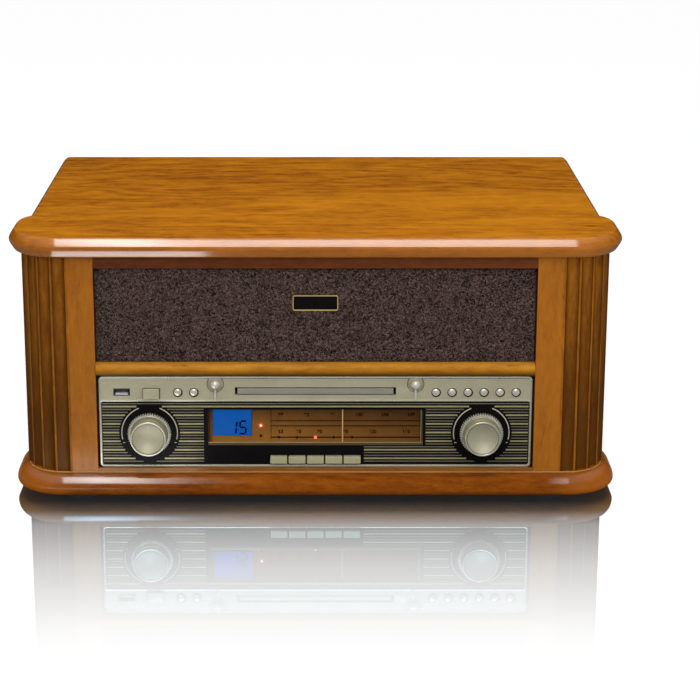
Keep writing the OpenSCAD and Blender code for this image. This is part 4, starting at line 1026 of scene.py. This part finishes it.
def segments(shape, x, z, y, which):
    """One seven-segment figure that leans right, 5.2 wide and 10.8 high: each bar has pointed ends."""
    w, h, t = 5.2, 5.4, 1.5
    bars = {
        "a": ((0, 2 * h), (w, 2 * h)),
        "b": ((w, h), (w, 2 * h)),
        "c": ((w, 0), (w, h)),
        "d": ((0, 0), (w, 0)),
        "e": ((0, 0), (0, h)),
        "f": ((0, h), (0, 2 * h)),
        "g": ((0, h), (w, h)),
    }
    for bar in which:
        (x0, z0), (x1, z1) = bars[bar]
        a, b = np.array([x0, z0], float), np.array([x1, z1], float)
        d = (b - a) / np.linalg.norm(b - a)
        n = np.array([-d[1], d[0]]) * t / 2
        a, b = a + d * 0.18, b - d * 0.18
        from_a, from_b = a + d * t / 2, b - d * t / 2
        outline = np.array([a, from_a + n, from_b + n, b, from_b - n, from_a - n])
        outline[:, 0] += 0.1 * outline[:, 1]
        ring = np.column_stack([x + outline[:, 0], np.zeros(6), z + outline[:, 1]])
        shape.rings(np.array([ring + (0, y, 0), ring + (0, y + 0.1, 0)]))


def knobs():
    """Both knobs, turned: knurled ring, bright step, smooth taper and a cap with a bright rim. Its dish is a
    parabola."""
    for node, x in (("volume_knob", -KNOB_X), ("tuning_knob", KNOB_X)):
        centre = (x, FACE_Y, KNOB_Z)
        step_out, taper = 4.0, [(15.4, 5.6), (15.2, 8.0)]
        if node == "tuning_knob":
            step_out, taper = 6.8, [(15.4, 6.6), (15.3, 6.9), (15.2, 7.3)]
        knurl = Shape()
        toothed = [(17.8, 0.3, 2.1), (18, 0.8, 2.3), (18, 3.1, 2.3), (17.8, 3.5, 2.2)]
        rows = [(15.4, 0.3), *toothed, (15.6, 3.7), (15.4, 3.2)]
        knurl.lathe(centre, rows, steps=432, teeth=54, hollow=True)
        knurl.piece(node + "_knurl", BRIGHT_TRIM, node, "champagne_knob")
        skirt = Shape()
        rows = [(3, 0.2), (15.7, 0.2), (15.7, 3.5), (15.6, 3.8), (15.5, 4.4)]
        rows += [*taper, (14.9, 9.6), (14.5, 9.9), (3, 9.9)]
        skirt.lathe(centre, rows, steps=96)
        skirt.piece(node + "_skirt", KNOB_SKIRT, node, "champagne_knob", [node])
        cap = Shape()
        dish = [(r, 10.4 + 5.4 * (r / 12.6) ** 2) for r in np.linspace(12.6, 0, 19)]
        rows = [(3, 8.5), (14.6, 8.5), (14.6, 15.6), (13.6, 15.7), (13.4, 14.9), (12.9, 14.9)]
        cap.lathe(centre, [*rows, (12.75, 15.6), *dish], steps=96)
        cap.piece(node + "_cap", KNOB_CAP, node, "champagne_knob")
        rim = Shape()
        turn = np.radians(np.linspace(-60, 240, 13))
        bead = [(14.0 + 0.68 * math.cos(a), 15.9 + 0.62 * math.sin(a)) for a in turn]
        rim.lathe(centre, bead, steps=96, hollow=True)
        line = [(15.6 + 0.3 * math.cos(a), step_out + 0.3 * math.sin(a)) for a in turn]
        rim.lathe(centre, line, steps=96, hollow=True)
        rim.piece(node + "_rim", BRIGHT_LINE, node, "champagne_knob")
        if node == "volume_knob":
            dot = Shape()
            dot.lathe((x, FACE_Y, KNOB_Z + 9.8), [(0.85, 12.6), *dome(0.85, 14.2, 0.6, 6)], steps=20)
            dot.piece("volume_mark", BRIGHT_LINE, node, "champagne_knob")


def buttons():
    """Domed push buttons in rings of painted shadow, the power key, source keys and the two pin-and-ball
    trims.
    """
    rings = Shape()
    ring = [(3.0, -0.6), (3.0, 0.5), (3.3, 0.62), (3.75, 0.55), (3.95, 0.3), (3.95, -0.6)]
    for name in ("mode", "repeat", "open", "stop", "play", "back", "forward", "memory"):
        node = name + "_button"
        low, high = span(node)
        x, z = (low[0] + high[0]) / 2, (low[2] + high[2]) / 2
        shape = Shape()
        rows = [(2.6, -4), (3.1, -4), (3.1, 0.5), *dome(3.1, 0.7, 1.3, 12, 89)]
        shape.lathe((x, FACE_Y, z), rows, steps=48)
        shape.piece(node + "_dome", BUTTON_DOME, body_of(node), "bright_trim", [node])
        # Painted shadow: a dark ring round each button, set off to the right and down.
        rings.lathe((x + 0.15, FACE_Y, z - 0.2), ring, steps=48, hollow=True)
    rings.piece("button_shadow_rings", SHADOW_LINE, "root", "champagne_panel")
    for node in ("am_key", "fm_key", "disc_key", "tape_key", "phono_key"):
        softened(node, KEY_FACE, 0.55)
    low, high = span("power_button")
    x, z = (low[0] + high[0]) / 2, (low[2] + high[2]) / 2
    shape = Shape()
    shape.slab((x - 6.6, low[1], z - 4.2), (x + 6.6, high[1], z + 4.2), 0.7, 0.35)
    shape.slab((x - 7.5, high[1] - 1, z - 4.9), (x + 7.5, high[1], z + 4.9), 0.4, 0.1)
    shape.piece("power_cap", CHAMPAGNE, body_of("power_button"), "champagne_panel", ["power_button"])
    frame_line = Shape()
    uv = round_rectangle(x - 6.9, x + 7.0, z - 4.6, z + 4.5, 0.7)
    frame_line.tube(upright(uv, FACE_Y), 0.2, closed=True, sides=8)
    frame_line.piece("power_outline", GROOVE_LINE, "root", "champagne_panel")
    low, high = span("trim_pins")
    ball_r, turn = 3.9, np.radians(np.linspace(-88, 88, 25))
    ball = [(ball_r * math.cos(a), ball_r * math.sin(a)) for a in turn]
    shape = Shape()
    for x in (-PIN_X, PIN_X):
        ball_z, ball_y = high[2] - ball_r, low[1] + ball_r
        shape.lathe((x, ball_y, ball_z), ball, steps=40)
        shape.lathe((x, FACE_Y + 2.3, ball_z), [(1.3, 0), (1.3, 3), (0, 3)], steps=24)
        shape.slab((x - 0.9, FACE_Y - 1.2, low[2]), (x + 0.9, FACE_Y + 0.05, ball_z - 1.5), 0.8, 0.4)
    shape.piece("pin_and_ball", BRIGHT_TRIM, "root", "bright_trim", ["trim_pins"])
    softened("usb_socket", DARK_METAL, 0.12)
    low, high = span("usb_socket")
    tongue = Shape()
    start, end = (low[0] + 1.4, FACE_Y - 0.15, low[2] + 0.5), (high[0] - 1.4, FACE_Y + 4, low[2] + 2.1)
    tongue.slab(start, end, 0.3, 0.15)
    tongue.piece("usb_tongue", LILAC_PLASTIC, "root", "socket_steel")
    softened("cd_tray", GREY_PLASTIC, 0.3)
    low, high = span("cd_tray")
    tray_face = Shape()
    start = (low[0] + 0.05, low[1] - 0.25, low[2] + 0.05)
    end = (high[0] - 0.05, low[1] + 0.3, low[2] + 5.05)
    tray_face.slab(start, end, 0.5, 0.2)
    tray_face.piece("tray_front", TRAY_FRONT, "cd_tray", "champagne_panel")


# ---- rear, inside and deck ----


def rear():
    """Plate with two phono jacks and the lead's gland, and the cross-head screws of the back."""
    back = span("back_panel")[1][1]
    plate_y = back + 1.6
    jack_z, gland_x, jacks = 70, -125, (-180, -160)
    plate = Shape()
    plate.slab((-196, back, jack_z - 14), (-111, plate_y, jack_z + 14), 2, 0.3)
    gland = [(3.6, back - 12), (6, back - 12), (6, back), (8, back + 0.2)]
    gland += [(8, 174.4), (7.2, 175), (4.2, 175), (3.6, 174.2)]
    plate.lathe((gland_x, 0, jack_z), gland, "back", 48, hollow=True)
    plate.piece("jack_board", BLACK_PLASTIC, "root", "black_plastic", ["jack_plate"])
    metal = Shape()
    for x in jacks:
        rows = [(3.4, plate_y - 1), (5.6, plate_y), (5.6, plate_y + 0.8), (4.15, plate_y + 1)]
        rows += [(4.15, 177.5), (3.9, 178), (3.5, 178), (3.4, 177.6)]
        metal.lathe((x, 0, jack_z), rows, "back", 40, hollow=True)
    metal.piece("jack_barrels", CHROME, "root", "black_plastic")
    rows = [(1.7, plate_y), (3.45, plate_y), (3.45, 176.8), (3.2, 177), (1.9, 177), (1.7, 176.8)]
    cores = ((WHITE_PLASTIC, "jack_core_white"), (RED_PLASTIC, "jack_core_red"))
    for x, (material, name) in zip(jacks, cores):
        core = Shape()
        core.lathe((x, 0, jack_z), rows, "back", 32, hollow=True)
        core.piece(name, material, "root", "black_plastic")
    screws, slots = Shape(), Shape()
    wall_x = span("side_panels")[1][0] - 4.5
    base = span("back_panel")[0][2]
    for x in (-wall_x, wall_x):
        for up in (12, 66, 120, 172):
            z = base + up
            head = [(1.5, back - 20), (1.5, back), (3.3, back), *dome(3.3, back + 0.5, 1.2, end=80)]
            screws.lathe((x, 0, z), head, "back", 28)
            for across, tall, out in ((1.5, 0.28, 1.74), (0.28, 1.5, 1.75)):
                low, high = (x - across, back + 1.2, z - tall), (x + across, back + out, z + tall)
                slots.slab(low, high, 0.1, 0.05, "back")
    screws.piece("screw_heads", STEEL, "root", "zinc_steel", ["cabinet_screws"])
    slots.piece("screw_slots", DARK_METAL, "root", "zinc_steel")


def deck():
    """The record deck: the turned platter and its ribbed mat, with the nodes that only get softer edges."""
    low, high = span("platter")
    x, y = (low[0] + high[0]) / 2, (low[1] + high[1]) / 2
    mat_low, mat_high = span("slip_mat")
    deck_low = span("turntable_deck")[0][2]
    softened("turntable_deck", BLACK_PLASTIC, 0.4)
    top = mat_low[2]
    rim = top - 10
    shape = Shape()
    tip = high[2]
    rows = [(106, rim), (109.6, rim), (110, rim + 0.5), (110, top - 5)]
    rows += [(109.2, top - 4.6), (109.2, top - 2.4), (110, top - 2)]
    rows += [(110, top - 0.6), (109.4, top), (5, top), (5, top + 1.1), (3.58, top + 1.1), (3.58, tip - 1.5)]
    rows += [(3.2, tip - 0.7), (2.2, tip - 0.1), (0, tip)]
    inner = [(0, top - 2.5), (106, top - 2.5), (106, rim)]
    shape.lathe((x, y, 0), inner + rows, "up", 180)
    belt_rim = [(68, rim + 0.5), (70, rim + 0.5), (70, rim + 8.4), (68, rim + 8.4)]
    shape.lathe((x, y, 0), belt_rim, "up", 120, hollow=True)
    spindle_foot = deck_low - 12.5
    hub = [(0, spindle_foot), (4, spindle_foot), (4, rim - 2), (12, rim - 1.8), (12, top - 1), (0, top - 1)]
    shape.lathe((x, y, 0), hub, "up", 48)
    shape.piece("platter_turned", ALUMINIUM, "platter", "platter_metal", ["platter"])
    mat = Shape()
    mat_top = mat_high[2]
    rows = [(5.15, mat_low[2]), (107, mat_low[2]), (107, mat_top - 0.3), (106.7, mat_top)]
    for r in np.arange(104.5, 53, -3.0):
        rows += [(r + 1.0, mat_top), (r + 0.8, mat_top - 0.35)]
        rows += [(r - 0.8, mat_top - 0.35), (r - 1.0, mat_top)]
    rows += [(51, mat_top), (50.9, mat_top - 0.4), (5.15, mat_top - 0.4)]
    mat.lathe((x, y, 0), rows, "up", 160, hollow=True)
    mat.piece("ribbed_mat", RUBBER, "platter", "mat_rubber", ["slip_mat"])
    for node, material, slot in (
        ("tonearm_turret", BLACK_PLASTIC, "black_plastic"),
        ("tonearm_yoke", ALUMINIUM, "arm_metal"),
        ("tonearm", ALUMINIUM, "arm_metal"),
        ("cue_lever", BLACK_PLASTIC, "black_plastic"),
        ("speed_selector", BLACK_PLASTIC, "black_plastic"),
        ("motor_pulley", BRASS, "brass_hinge"),
        ("hinge_leaves", BRASS, "brass_hinge"),
        ("lid_leaves", BRASS, "brass_hinge"),
        ("stay_rail", STEEL, "zinc_steel"),
        ("lid_stay", STEEL, "zinc_steel"),
        ("cassette_flap", BLACK_PLASTIC, "black_plastic"),
        ("cassette_button", BLACK_PLASTIC, "black_plastic"),
        ("cassette_mechanism", GREY_PLASTIC, "grey_plastic"),
        ("cd_mechanism", GREY_PLASTIC, "grey_plastic"),
    ):
        softened(node, material, 0.25)


def inside():
    """Nodes that stay as they are and only take their finish."""
    finishes = {
        "drive_belt": RUBBER,
        "motor": STEEL,
        "main_board": SOLDER_MASK,
        "transformer": LAMINATION,
        "speaker_drivers": DARK_METAL,
        "speaker_baffle": BLACK_BOARD,
    }
    for node, material in finishes.items():
        mesh = nodes[node].data
        mesh.materials.clear()
        mesh.materials.append(material)


# ---- studio ----


MIRROR_TINT = (0.45, 0.73, 1.0)
SKY_LEVEL = 0.4


def floor_finish():
    """White gloss sheet: a sharp mirror that fades with distance from the plinth, half_x by half_y metres;
    its tint greys the wood's reflection."""
    f = Finish("white gloss floor")
    path = f.node("ShaderNodeLightPath").outputs
    seen = f.math("MAXIMUM", path["Is Camera Ray"], path["Is Transmission Ray"])
    parts = f.node("ShaderNodeSeparateXYZ", {0: f.place}).outputs
    half_x, half_y = 0.24, 0.172
    beside = f.math("MAXIMUM", f.math("SUBTRACT", f.math("ABSOLUTE", parts[0]), half_x), 0.0)
    ahead = f.math("MAXIMUM", f.math("SUBTRACT", f.math("ABSOLUTE", parts[1]), half_y), 0.0)
    away = f.math("SQRT", f.math("ADD", f.math("POWER", beside, 2.0), f.math("POWER", ahead, 2.0)))
    fade = [(0.0, 0.985), (0.06, 0.955), (0.14, 0.70), (0.36, 0.45), (0.67, 0.18), (0.9, 0.08), (1.0, 0.0)]
    share = f.ramp(f.between(away, 0.0, 0.40), [(at, (level,) * 3) for at, level in fade])
    tint = f.mix(share, (0.0, 0.0, 0.0), MIRROR_TINT)
    rest = f.mix(share, (1.0, 1.0, 1.0), (0.0, 0.0, 0.0))
    mirror = f.node("ShaderNodeBsdfGlossy", {"Color": tint, "Roughness": 0.0})
    white = f.node("ShaderNodeEmission", {"Color": rest, "Strength": 0.92})
    shaded = f.node("ShaderNodeBsdfDiffuse", {"Color": f.mix(0.85, rest, (0.0, 0.0, 0.0))})
    sheet = f.node("ShaderNodeAddShader", {0: white.outputs[0], 1: shaded.outputs[0]})
    shown = f.node("ShaderNodeAddShader", {0: sheet.outputs[0], 1: mirror.outputs[0]})
    cloud = f.noise(f.stretched((0.7, 0.7, 0.7)))
    grey = f.ramp(cloud, [(0.2, (0.38,) * 3), (0.8, (0.42,) * 3)])
    lit = f.node("ShaderNodeBsdfDiffuse", {"Color": grey})
    dim = f.node("ShaderNodeEmission", {"Color": (1, 1, 1, 1), "Strength": 0.12})
    thrown = f.node("ShaderNodeMixShader", {0: path["Is Glossy Ray"], 1: lit.outputs[0], 2: dim.outputs[0]})
    both = f.node("ShaderNodeMixShader", {0: seen, 1: thrown.outputs[0], 2: shown.outputs[0]})
    f.node("ShaderNodeOutputMaterial", {"Surface": both.outputs[0]})
    return f.material


def sky():
    """White to the camera and in the floor's mirror, an even grey as light; rougher reflections see it dark,
    paler overhead."""
    world = bpy.data.worlds.new("studio")
    bpy.context.scene.world = world
    world.use_nodes = True
    tree = world.node_tree
    tree.nodes.clear()
    path = tree.nodes.new("ShaderNodeLightPath")
    place = tree.nodes.new("ShaderNodeTexCoord")
    parts = tree.nodes.new("ShaderNodeSeparateXYZ")
    tree.links.new(place.outputs["Generated"], parts.inputs[0])
    height = tree.nodes.new("ShaderNodeMapRange")
    for key, value in {"From Min": 0.35, "From Max": 0.95, "To Min": 0.0, "To Max": 0.5}.items():
        height.inputs[key].default_value = value
    tree.links.new(parts.outputs["Z"], height.inputs["Value"])
    levels = [tree.nodes.new("ShaderNodeMix") for _ in range(2)]
    levels[0].inputs["A"].default_value = SKY_LEVEL
    tree.links.new(path.outputs["Is Glossy Ray"], levels[0].inputs["Factor"])
    tree.links.new(height.outputs["Result"], levels[0].inputs["B"])
    seen = path.outputs["Is Camera Ray"]
    for kind in ("Is Transmission Ray", "Is Singular Ray"):
        either = tree.nodes.new("ShaderNodeMath")
        either.operation = "MAXIMUM"
        tree.links.new(seen, either.inputs[0])
        tree.links.new(path.outputs[kind], either.inputs[1])
        seen = either.outputs[0]
    tree.links.new(seen, levels[1].inputs["Factor"])
    tree.links.new(levels[0].outputs["Result"], levels[1].inputs["A"])
    levels[1].inputs["B"].default_value = 1.0
    ground = tree.nodes.new("ShaderNodeBackground")
    tree.links.new(levels[1].outputs["Result"], ground.inputs["Strength"])
    shade = tree.nodes.new("ShaderNodeMix")
    shade.data_type = "RGBA"
    shade.inputs[6].default_value = (1, 1, 1, 1)
    shade.inputs[7].default_value = (*(1 / c for c in MIRROR_TINT), 1)
    tree.links.new(path.outputs["Is Singular Ray"], shade.inputs[0])
    tree.links.new(shade.outputs[2], ground.inputs["Color"])
    out = tree.nodes.new("ShaderNodeOutputWorld")
    tree.links.new(ground.outputs[0], out.inputs["Surface"])


def studio():
    """A wide white floor, the sky, four softboxes and three lamps that only make glints in the lacquer."""
    mesh = bpy.data.meshes.new("floor")
    mesh.from_pydata([(-12, -9, 0), (12, -9, 0), (12, 15, 0), (-12, 15, 0)], [], [(0, 1, 2, 3)])
    floor = bpy.data.objects.new("floor", mesh)
    mesh.materials.append(floor_finish())
    bpy.context.scene.collection.objects.link(floor)
    sky()
    # Each lamp's place, target and size in metres and its power in watts
    lamps = {
        "front softbox": ((0.05, -1.02, 1.19), (0, -0.17, 0.21), (0.8, 1.3), 13.0),
        "front glint": ((0.05, -1.02, 1.19), (0, -0.17, 0.21), (0.8, 1.3), 9.0),
        "overhead softbox": ((0, 0.1, 1.5), (0, 0, 0.2), (1.0, 0.7), 12.0),
        "key softbox": ((-1.0, -1.25, 0.6), (0, -0.17, 0.12), (0.5, 0.5), 8.0),
        "fill softbox": ((1.0, -1.25, 0.45), (0, -0.17, 0.12), (0.5, 0.5), 9.0),
        "left glint": ((-0.315, -0.80, 1.22), (-0.315, -0.17, 0.12), (0.18, 1.5), 4.6),
        "floor glint": ((-0.18, -0.222, 0.006), (-0.18, -0.2221, 0.3), (0.16, 0.08), 0.16),
    }
    for name, (place, target, size, power) in lamps.items():
        data = bpy.data.lights.new(name, "AREA")
        data.shape = "RECTANGLE"
        data.size, data.size_y = size
        data.energy = power
        lamp = bpy.data.objects.new(name, data)
        lamp.location = place
        aim = Vector(target) - lamp.location
        lamp.rotation_euler = aim.to_track_quat("-Z", "Y").to_euler()
        lamp.visible_camera = False
        lamp.visible_glossy = "glint" in name or name == "front softbox"
        lamp.visible_diffuse = "glint" not in name
        bpy.context.scene.collection.objects.link(lamp)


CAMERA_BACK_M = 1.8427
CAMERA_UP_M = 0.6052
CAMERA_TILT = 15.89
FOCAL_PX = 2146.8
FRAME_PX = 700
CENTRE_SHIFT_PX = 34.56


def camera():
    """The photograph's view: straight from the front, looking a little down; its shift centres the frame."""
    data = bpy.data.cameras.new("camera")
    data.sensor_width = 36
    data.lens = FOCAL_PX / FRAME_PX * data.sensor_width
    data.shift_x = CENTRE_SHIFT_PX / FRAME_PX
    eye = bpy.data.objects.new("camera", data)
    eye.location = (0, -CAMERA_BACK_M, CAMERA_UP_M)
    eye.rotation_euler = (math.radians(90 - CAMERA_TILT), 0, 0)
    bpy.context.scene.collection.objects.link(eye)
    bpy.context.scene.camera = eye
    bpy.context.scene.view_settings.view_transform = "Standard"


camera()
studio()
lid()
plinth()
columns()
case()
grille()
panel()
stripes()
dial()
display()
dial_lamps()
window()
knobs()
buttons()
rear()
deck()
inside()
